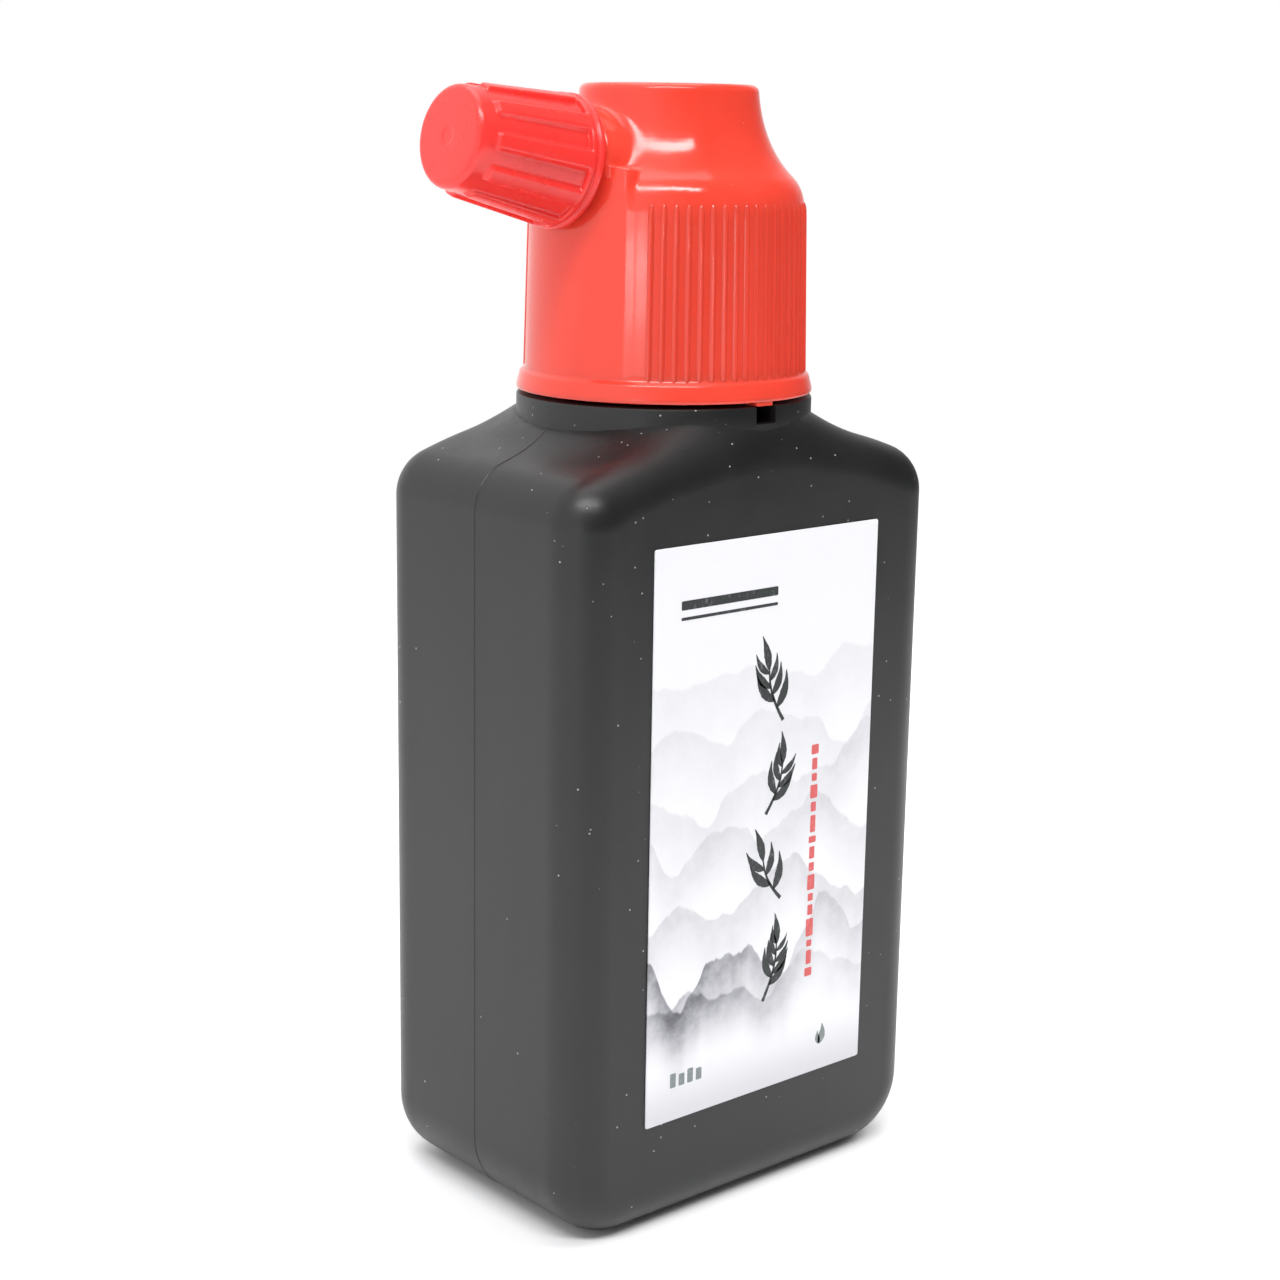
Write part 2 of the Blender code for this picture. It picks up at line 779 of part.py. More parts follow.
clear_scene()
build_bottle(material("black_plastic", (0.022, 0.022, 0.023), 0.45))
label_paper = material("label_paper", (0.85, 0.85, 0.87), 0.6)
build_label("front_label", -1.0, label_paper)
build_label("back_label", 1.0, material("back_label_paper", (0.85, 0.85, 0.87), 0.6))
build_neck_seal(material("seal_foam", (0.8, 0.8, 0.78), 0.7))
build_main_cap(material("red_plastic", (0.9, 0.07, 0.04), 0.3))
build_spout_insert(material("natural_plastic", (0.8, 0.8, 0.78), 0.4))
build_spout_seal(material("spout_seal_foam", (0.8, 0.8, 0.78), 0.7))
build_spout_cap(material("pink_red_plastic", (0.95, 0.07, 0.06), 0.3))
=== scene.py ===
"""Looks of the ink bottle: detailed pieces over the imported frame, a pale floor, light and camera."""

import math

import bmesh
import bpy
import numpy as np
from mathutils import Matrix, Vector

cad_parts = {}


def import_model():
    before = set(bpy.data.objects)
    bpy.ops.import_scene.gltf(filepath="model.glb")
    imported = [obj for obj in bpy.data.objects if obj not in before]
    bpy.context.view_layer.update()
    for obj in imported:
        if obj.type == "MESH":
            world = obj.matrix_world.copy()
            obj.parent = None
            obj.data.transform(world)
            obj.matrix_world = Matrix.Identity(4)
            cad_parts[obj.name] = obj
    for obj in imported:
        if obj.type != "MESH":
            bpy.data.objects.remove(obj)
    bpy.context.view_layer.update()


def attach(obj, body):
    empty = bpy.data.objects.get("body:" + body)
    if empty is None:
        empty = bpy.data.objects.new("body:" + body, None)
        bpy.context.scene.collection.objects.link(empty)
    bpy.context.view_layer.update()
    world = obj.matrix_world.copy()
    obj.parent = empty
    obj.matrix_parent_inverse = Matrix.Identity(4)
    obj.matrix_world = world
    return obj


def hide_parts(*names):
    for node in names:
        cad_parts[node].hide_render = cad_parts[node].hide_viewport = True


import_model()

MM = 0.001
TURN = 2.0 * math.pi


# ---------------------------------------------------------------- sizes, in millimetres, as in the CAD source

BODY_WIDTH = 48.0
BODY_DEPTH = 32.2
EDGE_RADIUS = 4.5
ARCH_PEAK = 80.0
ARCH_RADIUS = 62.0
SHOULDER_RADIUS = 5.0
FOOT_RADIUS = 7.5
WALL = 1.3
SEAM_PROUD = 0.06
COLLAR_RADIUS = 14.95
COLLAR_ROOT = 76.5
COLLAR_TOP = 82.0
COLLAR_SWEEP = 1.3
NECK_RADIUS = 10.4
NECK_BORE = 8.9
NECK_TOP = 97.6
SLOT = (-1.15, 1.45)
SLOT_FLOOR = 80.3
LABEL_BOX = (-15.0, 11.5, 15.0, 69.7)
LABEL_FACE = 16.3
CAP_FOOT = 82.4
FLANGE_RADIUS = 14.95
FLANGE_TOP = 84.3
SKIRT_FOOT_RADIUS = 14.1
SKIRT_RADIUS = 13.7
SKIRT_TOP = 100.0
RIDGE_PROUD = 0.22
SMOOTH_HALF = math.radians(35.0)
RIDGE_FREE_HALF = math.radians(40.0)
DOME_TOP = 112.35
CAP_BORE = 11.5
CAP_SHELF = 99.2
SPOUT_RISE = math.radians(9.93)
SPOUT_ROOT = np.array([0.0, 0.0, 102.45])
SPOUT_ALONG = np.array([-math.cos(SPOUT_RISE), 0.0, math.sin(SPOUT_RISE)])
SPOUT_UP = np.array([math.sin(SPOUT_RISE), 0.0, math.cos(SPOUT_RISE)])
SPOUT_SIDE = np.array([0.0, 1.0, 0.0])
BOSS_RADIUS = 5.6
BOSS_START = 2.0
BOSS_END = 12.9
BOSS_SKIRT = 1.0
BOSS_BLEND = 1.2
SEAT_RADIUS = 6.9
SEAT_START = 13.1
CHANNEL_RADIUS = 1.8
CHANNEL_START = 5.0
PANEL_RADIUS = 14.05
PANEL_TAPER = 0.4
PANEL_LOW = 84.6
PANEL_HEIGHT = 15.4
PANEL_TOP_RADIUS = 13.65
PANEL_ROOT = 10.8
PANEL_FOOT = 83.7
SHELL_FOOT = 83.5
RIDGE_COUNT = 72
RIDGE_PITCH_DEGREES = 5.0

# Grip ridges: height and share of the full height there, then offset across and height of the section.
RIDGE_LEVELS = (
    (84.5, 1.0),
    (88.0, 1.0),
    (92.0, 1.0),
    (96.0, 1.0),
    (99.6, 1.0),
    (100.4, 0.93),
    (100.8, 0.72),
    (101.05, 0.35),
    (101.15, 0.0),
)
RIDGE_SECTION = (
    (-0.52, 0.0),
    (-0.40, 0.13),
    (-0.28, 0.44),
    (-0.15, 0.81),
    (0.0, 1.0),
    (0.15, 0.81),
    (0.28, 0.44),
    (0.40, 0.13),
    (0.52, 0.0),
)


# ---------------------------------------------------------------- mesh helpers


def smooth(mesh, angle=math.radians(38.0)):
    for polygon in mesh.polygons:
        polygon.use_smooth = True
    mesh.set_sharp_from_angle(angle=angle)


def piece(name, mesh, material, body, replaced=()):
    """Puts a finished mesh into the scene as a piece that rides on a body."""
    made = bpy.data.objects.new(name, mesh)
    bpy.context.scene.collection.objects.link(made)
    mesh.materials.clear()
    mesh.materials.append(material)
    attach(made, body)
    if replaced:
        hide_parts(*replaced)
    return made


def mesh_of(builder, name):
    bmesh.ops.recalc_face_normals(builder, faces=builder.faces)
    mesh = bpy.data.meshes.new(name)
    builder.to_mesh(mesh)
    builder.free()
    return mesh


def add_rings(builder, rings, closed=False):
    """Joins rings of points with quads. Open chains of rings are capped at both ends."""
    made = [[builder.verts.new(Vector(p) * MM) for p in ring] for ring in rings]
    pairs = list(zip(made, made[1:]))
    if closed:
        pairs.append((made[-1], made[0]))
    for first, second in pairs:
        count = len(first)
        for index in range(count):
            after = (index + 1) % count
            builder.faces.new((first[index], first[after], second[after], second[index]))
    if not closed:
        builder.faces.new(made[0])
        builder.faces.new(made[-1])


def lathe_rings(profile, steps, place=None):
    rings = []
    for radius, height in profile:
        ring = []
        for step in range(steps):
            angle = TURN * step / steps
            point = np.array([radius * math.cos(angle), radius * math.sin(angle), height])
            ring.append(place(point) if place else point)
        rings.append(ring)
    return rings


def add_lathe(builder, profile, steps, place=None):
    """A closed ring of revolution: the profile is a loop off the axis."""
    add_rings(builder, lathe_rings(profile, steps, place), closed=True)


def add_plug(builder, profile, steps, place=None):
    """A solid of revolution whose profile starts and ends in a small flat disc."""
    add_rings(builder, lathe_rings(profile, steps, place))


def spout_place(point):
    """From spout coordinates (up, side, along) to the row frame, in millimetres."""
    return SPOUT_ROOT + SPOUT_UP * point[0] + SPOUT_SIDE * point[1] + SPOUT_ALONG * point[2]


def rounded(points, radius, steps=4):
    """A closed loop of (x, y) corners with each corner rounded where there is room."""
    out = []
    count = len(points)
    for index in range(count):
        before = Vector(points[index - 1])
        corner = Vector(points[index])
        after = Vector(points[(index + 1) % count])
        into = before - corner
        away = after - corner
        reach = min(radius, 0.45 * into.length, 0.45 * away.length)
        start = corner + into.normalized() * reach
        end = corner + away.normalized() * reach
        for step in range(steps + 1):
            t = step / steps
            out.append(tuple((1 - t) ** 2 * start + 2 * t * (1 - t) * corner + t**2 * end))
    return out


def bezier(points, steps):
    made = []
    for step in range(steps + 1):
        t = step / steps
        weights = ((1 - t) ** 3, 3 * t * (1 - t) ** 2, 3 * t**2 * (1 - t), t**3)
        made.append(sum(w * np.array(p, float) for w, p in zip(weights, points)))
    return made


def add_thread(builder, inner, outer, root, crest, start, pitch, turns, steps, outside, place=None):
    """A helical ridge whose ends fade into the wall."""
    sections = []
    count = int(steps * turns)
    for step in range(count + 1):
        angle = TURN * step / steps
        height = start + pitch * step / steps
        fade = min(1.0, step / (0.1 * steps), (count - step) / (0.1 * steps))
        fade = 0.15 + 0.85 * fade
        if outside:
            low, high = inner, inner + (outer - inner) * fade
            widths = (root, crest)
        else:
            low, high = outer - (outer - inner) * fade, outer
            widths = (crest, root)
        section = []
        for radius, offset in (
            (low, -0.5 * widths[0]),
            (high, -0.5 * widths[1]),
            (high, 0.5 * widths[1]),
            (low, 0.5 * widths[0]),
        ):
            point = np.array([radius * math.cos(angle), radius * math.sin(angle), height + offset])
            section.append(place(point) if place else point)
        sections.append(section)
    add_rings(builder, sections)


# ---------------------------------------------------------------- distance fields and their meshes


def profile_field(outline, low, high, step=0.04):
    """Signed distance to a shape of revolution, from its (radius, height) outline."""
    loop = np.array([(r, z) for r, z in outline] + [(-r, z) for r, z in reversed(outline)], float)
    radii = np.arange(0.0, high[0] + step, step)
    heights = np.arange(low[1], high[1] + step, step)
    grid_r, grid_z = np.meshgrid(radii, heights, indexing="ij")
    best = np.full(grid_r.shape, 1e9)
    inside = np.zeros(grid_r.shape, bool)
    for a, b in zip(loop, np.roll(loop, -1, axis=0)):
        edge = b - a
        length = max(float(edge @ edge), 1e-12)
        t = np.clip(((grid_r - a[0]) * edge[0] + (grid_z - a[1]) * edge[1]) / length, 0.0, 1.0)
        gap = (grid_r - a[0] - t * edge[0]) ** 2 + (grid_z - a[1] - t * edge[1]) ** 2
        best = np.minimum(best, gap)
        crosses = (a[1] > grid_z) != (b[1] > grid_z)
        if edge[1] != 0.0:
            inside ^= crosses & (grid_r < a[0] + (grid_z - a[1]) * edge[0] / edge[1])
    table = np.where(inside, -1.0, 1.0) * np.sqrt(best)

    def field(radius, height):
        u = np.clip(radius / step, 0.0, len(radii) - 1.001)
        v = np.clip((height - low[1]) / step, 0.0, len(heights) - 1.001)
        i, j = u.astype(int), v.astype(int)
        s, t = u - i, v - j
        near = table[i, j] * (1 - t) + table[i, j + 1] * t
        far = table[i + 1, j] * (1 - t) + table[i + 1, j + 1] * t
        return near * (1 - s) + far * s

    return field


def join_smooth(a, b, width):
    """Union of two fields with a fillet."""
    blend = np.clip(0.5 + 0.5 * (b - a) / width, 0.0, 1.0)
    return b * (1 - blend) + a * blend - width * blend * (1 - blend)


def cut_smooth(a, b, width):
    """The first field without the second."""
    return -join_smooth(-a, b, width)


def gradient(field, points, reach):
    out = np.empty_like(points)
    for axis in range(3):
        shift = np.zeros(3)
        shift[axis] = reach
        out[:, axis] = field(points + shift) - field(points - shift)
    return out / np.maximum(np.linalg.norm(out, axis=1, keepdims=True), 1e-9)


def field_mesh(name, field, low, high, step, place=None):
    """A closed mesh of the field's zero surface, with one vertex in each cell that it crosses."""
    axes = [np.arange(a, b + step, step) for a, b in zip(low, high)]
    shape = tuple(len(a) for a in axes)
    grid = np.stack(np.meshgrid(*axes, indexing="ij"), -1).reshape(-1, 3)
    values = np.concatenate([field(part) for part in np.array_split(grid, 40)]).reshape(shape)
    inside = values < 0.0
    total = np.zeros(tuple(n - 1 for n in shape) + (3,))
    count = np.zeros(tuple(n - 1 for n in shape))
    corner = [np.array(c) for c in np.ndindex(2, 2, 2)]

    def at(array, c):
        return array[c[0] : shape[0] - 1 + c[0], c[1] : shape[1] - 1 + c[1], c[2] : shape[2] - 1 + c[2]]

    for c in corner:
        for axis in range(3):
            if c[axis]:
                continue
            d = c.copy()
            d[axis] = 1
            va, vb = at(values, c), at(values, d)
            cross = (va < 0.0) != (vb < 0.0)
            t = np.where(cross, va / np.where(va == vb, 1.0, va - vb), 0.0)
            for k in range(3):
                total[..., k] += np.where(cross, c[k] + (t if k == axis else 0.0), 0.0)
            count += cross
    used = count > 0
    index = np.full(used.shape, -1)
    index[used] = np.arange(used.sum())
    base = np.argwhere(used)
    points = (base + total[used] / count[used][:, None]) * step + np.array(low)
    for _ in range(4):
        value = field(points)
        move = gradient(field, points, 0.1 * step) * value[:, None]
        length = np.linalg.norm(move, axis=1, keepdims=True)
        points -= move * np.minimum(1.0, 0.4 * step / np.maximum(length, 1e-9))
    faces = []
    for axis in range(3):
        other = [k for k in range(3) if k != axis]
        first = [slice(None)] * 3
        second = [slice(None)] * 3
        first[axis], second[axis] = slice(0, -1), slice(1, None)
        a, b = inside[tuple(first)], inside[tuple(second)]
        edges = np.argwhere(a != b)
        starts = a[a != b]
        keep = np.ones(len(edges), bool)
        for k in other:
            keep &= (edges[:, k] > 0) & (edges[:, k] < shape[k] - 1)
        edges, starts = edges[keep], starts[keep]
        quads = []
        for du, dv in ((1, 1), (0, 1), (0, 0), (1, 0)):
            cell = edges.copy()
            cell[:, other[0]] -= du
            cell[:, other[1]] -= dv
            quads.append(index[cell[:, 0], cell[:, 1], cell[:, 2]])
        quads = np.stack(quads, 1)
        forward = starts if axis != 1 else ~starts
        faces.append(np.where(forward[:, None], quads, quads[:, ::-1]))
    faces = np.concatenate(faces)
    normals = gradient(field, points, 0.2 * step)
    if place is not None:
        turn = np.array([SPOUT_UP, SPOUT_SIDE, SPOUT_ALONG])
        points = points @ turn + SPOUT_ROOT
        normals = normals @ turn
    mesh = bpy.data.meshes.new(name)
    mesh.vertices.add(len(points))
    mesh.vertices.foreach_set("co", (points * MM).ravel())
    mesh.loops.add(faces.size)
    mesh.loops.foreach_set("vertex_index", faces.ravel().astype(np.int32))
    mesh.polygons.add(len(faces))
    mesh.polygons.foreach_set("loop_start", np.arange(0, faces.size, 4, dtype=np.int32))
    mesh.update(calc_edges=True)
    mesh.validate()
    for polygon in mesh.polygons:
        polygon.use_smooth = True
    mesh.normals_split_custom_set_from_vertices(normals.tolist())
    return mesh


# ---------------------------------------------------------------- materials


class Nodes:
    """Short ways to add and link shader nodes."""

    def __init__(self, name):
        self.material = bpy.data.materials.new(name)
        self.material.use_nodes = True
        self.tree = self.material.node_tree
        self.shader = self.tree.nodes["Principled BSDF"]
        self.place = self.add("ShaderNodeTexCoord").outputs["Object"]

    def add(self, kind, **settings):
        node = self.tree.nodes.new(kind)
        for key, value in settings.items():
            setattr(node, key, value)
        return node

    def link(self, source, target):
        if isinstance(source, (int, float)):
            target.default_value = source
        elif isinstance(source, tuple):
            target.default_value = source
        else:
            self.tree.links.new(source, target)

    def math(self, operation, a, b=0.0, clamp=False):
        node = self.add("ShaderNodeMath", operation=operation, use_clamp=clamp)
        self.link(a, node.inputs[0])
        self.link(b, node.inputs[1])
        return node.outputs[0]

    def ramp(self, value, low, high, out_low=0.0, out_high=1.0, kind="SMOOTHSTEP"):
        node = self.add("ShaderNodeMapRange", interpolation_type=kind)
        self.link(value, node.inputs["Value"])
        for name, amount in zip(("From Min", "From Max", "To Min", "To Max"), (low, high, out_low, out_high)):
            self.link(amount, node.inputs[name])
        return node.outputs["Result"]

    def noise(self, scale, detail=3.0, roughness=0.5, vector=None, stretch=None):
        vector = vector or self.place
        if stretch:
            mapping = self.add("ShaderNodeMapping")
            mapping.inputs["Scale"].default_value = stretch
            self.link(vector, mapping.inputs["Vector"])
            vector = mapping.outputs["Vector"]
        node = self.add("ShaderNodeTexNoise")
        node.inputs["Scale"].default_value = scale
        node.inputs["Detail"].default_value = detail
        node.inputs["Roughness"].default_value = roughness
        self.link(vector, node.inputs["Vector"])
        return node.outputs["Fac"]

    def mix(self, factor, a, b, blend="MIX"):
        node = self.add("ShaderNodeMix", data_type="RGBA", blend_type=blend)
        self.link(factor, node.inputs["Factor"])
        self.link(a if not isinstance(a, tuple) else (*a, 1.0), node.inputs["A"])
        self.link(b if not isinstance(b, tuple) else (*b, 1.0), node.inputs["B"])
        return node.outputs["Result"]

    def specks(self, scale, size, amount):
        """Rare small dots, as dust."""
        node = self.add("ShaderNodeTexVoronoi")
        node.inputs["Scale"].default_value = scale
        self.link(self.place, node.inputs["Vector"])
        dot = self.ramp(node.outputs["Distance"], size, 0.4 * size)
        split = self.add("ShaderNodeSeparateColor")
        self.link(node.outputs["Color"], split.inputs["Color"])
        chosen = self.math("GREATER_THAN", split.outputs["Red"], 1.0 - amount)
        return self.math("MULTIPLY", dot, chosen)

    def bump(self, parts):
        """Chains (height, distance in metres, strength) bumps."""
        previous = None
        for height, distance, strength in parts:
            node = self.add("ShaderNodeBump")
            node.inputs["Strength"].default_value = strength
            node.inputs["Distance"].default_value = distance
            self.link(height, node.inputs["Height"])
            if previous is not None:
                self.link(previous, node.inputs["Normal"])
            previous = node.outputs["Normal"]
        self.link(previous, self.shader.inputs["Normal"])


def black_plastic():
    made = Nodes("black_plastic_looks")
    cloud = made.noise(90.0, 4.0, 0.6)
    grain = made.noise(5200.0, 2.0, 0.6)
    streak = made.noise(260.0, 3.0, 0.5, stretch=(1.0, 1.0, 0.12))
    dust = made.specks(1100.0, 0.13, 0.13)
    lint = made.specks(380.0, 0.07, 0.07)
    dirt = made.math("MAXIMUM", dust, lint)
    base = made.mix(made.ramp(cloud, 0.35, 0.65), (0.0090, 0.0092, 0.0096), (0.0118, 0.0120, 0.0125))
    dusty = made.mix(made.math("MULTIPLY", dirt, 0.8), base, (0.50, 0.50, 0.51))
    made.link(dusty, made.shader.inputs["Base Color"])
    rough = made.math("ADD", made.ramp(cloud, 0.3, 0.7, 0.36, 0.42), made.ramp(grain, 0.3, 0.7, -0.03, 0.03))
    rough = made.math("ADD", rough, made.ramp(streak, 0.4, 0.7, 0.0, 0.03))
    made.link(rough, made.shader.inputs["Roughness"])
    made.shader.inputs["IOR"].default_value = 1.5
    made.bump([(grain, 0.00001, 0.55), (cloud, 0.00005, 0.25)])
    return made.material


def red_plastic(name, colour, deep, roughness, subsurface):
    made = Nodes(name)
    cloud = made.noise(160.0, 4.0, 0.6)
    flow = made.noise(70.0, 3.0, 0.5, stretch=(1.0, 1.0, 0.35))
    grain = made.noise(4200.0, 2.0, 0.5)
    dust = made.specks(700.0, 0.05, 0.03)
    base = made.mix(made.ramp(flow, 0.3, 0.7), deep, colour)
    base = made.mix(made.math("MULTIPLY", dust, 0.4), base, (0.95, 0.6, 0.55))
    made.link(base, made.shader.inputs["Base Color"])
    rough = made.ramp(cloud, 0.3, 0.7, roughness - 0.04, roughness + 0.05)
    made.link(rough, made.shader.inputs["Roughness"])
    made.shader.inputs["IOR"].default_value = 1.49
    made.shader.inputs["Subsurface Weight"].default_value = subsurface
    made.shader.inputs["Subsurface Radius"].default_value = (1.0, 0.22, 0.14)
    made.shader.inputs["Subsurface Scale"].default_value = 0.0022
    made.bump([(cloud, 0.00004, 0.3), (grain, 0.000006, 0.35)])
    return made.material


def soft_foam(name, colour):
    made = Nodes(name)
    cell = made.noise(3000.0, 3.0, 0.6)
    cloud = made.noise(300.0, 3.0, 0.5)
    shade = made.mix(made.ramp(cloud, 0.3, 0.7), colour, tuple(0.9 * c for c in colour))
    made.link(shade, made.shader.inputs["Base Color"])
    made.link(made.ramp(cell, 0.3, 0.7, 0.55, 0.75), made.shader.inputs["Roughness"])
    made.bump([(cell, 0.00003, 0.5)])
    return made.material


def milky_plastic():
    made = Nodes("natural_plastic_looks")
    cloud = made.noise(400.0, 3.0, 0.5)
    shade = made.mix(made.ramp(cloud, 0.3, 0.7), (0.80, 0.80, 0.77), (0.72, 0.72, 0.69))
    made.link(shade, made.shader.inputs["Base Color"])
    made.link(made.ramp(cloud, 0.3, 0.7, 0.3, 0.42), made.shader.inputs["Roughness"])
    made.shader.inputs["Subsurface Weight"].default_value = 0.4
    made.shader.inputs["Subsurface Radius"].default_value = (1.0, 0.9, 0.8)
    made.shader.inputs["Subsurface Scale"].default_value = 0.002
    made.bump([(cloud, 0.00002, 0.3)])
    return made.material


def ink(name, colour, roughness):
    made = Nodes(name)
    dry = made.noise(2600.0, 3.0, 0.6, stretch=(1.0, 1.0, 0.5))
    worn = tuple(min(1.0, c + 0.10) for c in colour)
    made.link(made.mix(made.ramp(dry, 0.55, 0.75), colour, worn), made.shader.inputs["Base Color"])
    made.link(made.ramp(dry, 0.3, 0.7, roughness - 0.05, roughness + 0.1), made.shader.inputs["Roughness"])
    made.bump([(dry, 0.000008, 0.4)])
    return made.material


# Each hill layer: middle height, rise and fall, bumps per mm, depth of its mist, darkness, seed.
HILLS = (
    (57.0, 7.0, 0.07, 10.0, 0.10, 3.1),
    (51.0, 8.0, 0.08, 11.0, 0.12, 11.7),
    (45.0, 8.0, 0.09, 10.0, 0.15, 23.3),
    (39.5, 7.0, 0.10, 9.0, 0.18, 37.9),
    (33.0, 8.0, 0.09, 9.0, 0.24, 51.2),
    (27.5, 10.0, 0.10, 10.0, 0.66, 67.4),
    (23.5, 6.0, 0.12, 7.0, 0.45, 83.6),
)


def label_paper(name, shift, strength):
    """Coated paper printed with soft layers of misty hills."""
    made = Nodes(name)
    split = made.add("ShaderNodeSeparateXYZ")
    made.link(made.place, split.inputs["Vector"])
    x = made.math("MULTIPLY", split.outputs["X"], 1000.0)
    z = made.math("MULTIPLY", split.outputs["Z"], 1000.0)
    wash = made.noise(420.0, 5.0, 0.65)
    dark = None
    for middle, swing, bumps, mist, amount, seed in HILLS:
        along = made.add("ShaderNodeTexNoise", noise_dimensions="1D")
        turned = made.math("ADD", made.math("MULTIPLY", x, bumps), seed + shift)
        made.link(turned, along.inputs["W"])
        along.inputs["Scale"].default_value = 1.0
        along.inputs["Detail"].default_value = 5.0
        along.inputs["Roughness"].default_value = 0.40
        swung = made.math("MULTIPLY", made.math("SUBTRACT", along.outputs["Fac"], 0.5), 2.0 * swing)
        ridge = made.math("ADD", swung, middle)
        under = made.math("SUBTRACT", ridge, z)
        crest = made.ramp(under, 0.0, 0.35)
        fade = made.ramp(under, mist, 0.0)
        fade = made.math("POWER", fade, 1.4)
        tone = made.math("MULTIPLY", made.math("MULTIPLY", crest, fade), amount * strength)
        tone = made.math("MULTIPLY", tone, made.ramp(wash, 0.3, 0.7, 0.72, 1.12))
        if amount > 0.4:
            tone = made.math("MULTIPLY", tone, made.ramp(x, 9.0, -9.0, 0.35, 1.1))
        left = made.math("SUBTRACT", 1.0, tone)
        dark = left if dark is None else made.math("MULTIPLY", dark, left)
    foot = made.ramp(z, 17.5, 11.5, 0.0, 0.22)
    dark = made.math("MULTIPLY", dark, made.math("SUBTRACT", 1.0, foot))
    shade = made.add("ShaderNodeCombineColor")
    paper = (0.785, 0.785, 0.81)
    for channel, value, ease in zip(("Red", "Green", "Blue"), paper, (1.0, 1.0, 0.94)):
        made.link(made.math("MULTIPLY", made.math("POWER", dark, ease), value), shade.inputs[channel])
    made.link(shade.outputs["Color"], made.shader.inputs["Base Color"])
    fibre = made.noise(3800.0, 3.0, 0.6)
    made.link(made.ramp(fibre, 0.3, 0.7, 0.42, 0.52), made.shader.inputs["Roughness"])
    made.bump([(fibre, 0.000004, 0.4)])
    return made.material


# ---------------------------------------------------------------- bottle


def body_outline(inset, corner, arch):
    """The outline across the width, moved inwards: sides, arched top and flat foot, as (x, z)."""
    half = 0.5 * BODY_WIDTH
    corner_x = half - SHOULDER_RADIUS
    centre = ARCH_PEAK - ARCH_RADIUS
    corner_z = centre + math.sqrt((ARCH_RADIUS - SHOULDER_RADIUS) ** 2 - corner_x**2)
    meet = math.atan2(corner_z - centre, corner_x)
    points = []
    for step in range(corner + 1):
        angle = meet * step / corner
        radius = SHOULDER_RADIUS - inset
        points.append((corner_x + radius * math.cos(angle), corner_z + radius * math.sin(angle)))
    for step in range(1, arch):
        angle = meet + (math.pi - 2 * meet) * step / arch
        radius = ARCH_RADIUS - inset
        points.append((radius * math.cos(angle), centre + radius * math.sin(angle)))
    for step in range(corner + 1):
        angle = math.pi - meet + meet * step / corner
        radius = SHOULDER_RADIUS - inset
        points.append((radius * math.cos(angle) - corner_x, corner_z + radius * math.sin(angle)))
    wall = 10
    for step in range(1, wall):
        z = corner_z + (FOOT_RADIUS - corner_z) * step / wall
        points.append((-half + inset, z))
    for side, first in ((-1.0, math.pi), (1.0, 1.5 * math.pi)):
        for step in range(corner + 1):
            angle = first + 0.5 * math.pi * step / corner
            radius = FOOT_RADIUS - inset
            x = side * (half - FOOT_RADIUS) + radius * math.cos(angle)
            points.append((x, FOOT_RADIUS + radius * math.sin(angle)))
    for step in range(1, wall):
        z = FOOT_RADIUS + (corner_z - FOOT_RADIUS) * step / wall
        points.append((half - inset, z))
    return points


def swept_up(x, y, z):
    """The top of the body rises softly to the foot of the collar."""
    near = 1.0 - min(max((math.hypot(x, y) - COLLAR_RADIUS) / 5.0, 0.0), 1.0)
    top = min(max((z - 74.0) / 4.0, 0.0), 1.0)
    return z + COLLAR_SWEEP * near * near * top


def body_shell(builder, wall, edge, corner, arch, seam):
    rounding = EDGE_RADIUS - wall
    flat = 0.5 * BODY_DEPTH - EDGE_RADIUS
    within = wall + SEAM_PROUD if seam else wall
    stations = []
    for step in range(edge + 1):
        angle = 0.5 * math.pi * (edge - step) / edge
        stations.append((-(flat + rounding * math.sin(angle)), within + rounding * (1 - math.cos(angle))))
    for y in range(-11, 0):
        stations.append((float(y), within))
    if seam:
        stations += [(-0.13, within), (-0.05, wall), (0.05, wall), (0.13, within)]
    else:
        stations.append((0.0, wall))
    stations += [(-y, inset) for y, inset in reversed(stations) if y < -0.5]
    sections = [[(x, y, z) for x, z in body_outline(inset, corner, arch)] for y, inset in stations]
    if seam:
        sections = [[(x, y, swept_up(x, y, z)) for x, y, z in section] for section in sections]
    add_rings(builder, sections)


def boolean(target, tool, operation):
    step = target.modifiers.new(operation, "BOOLEAN")
    step.operation = operation
    step.solver = "EXACT"
    step.object = tool


def solid(name, fill):
    builder = bmesh.new()
    fill(builder)
    made = bpy.data.objects.new(name, mesh_of(builder, name))
    bpy.context.scene.collection.objects.link(made)
    return made


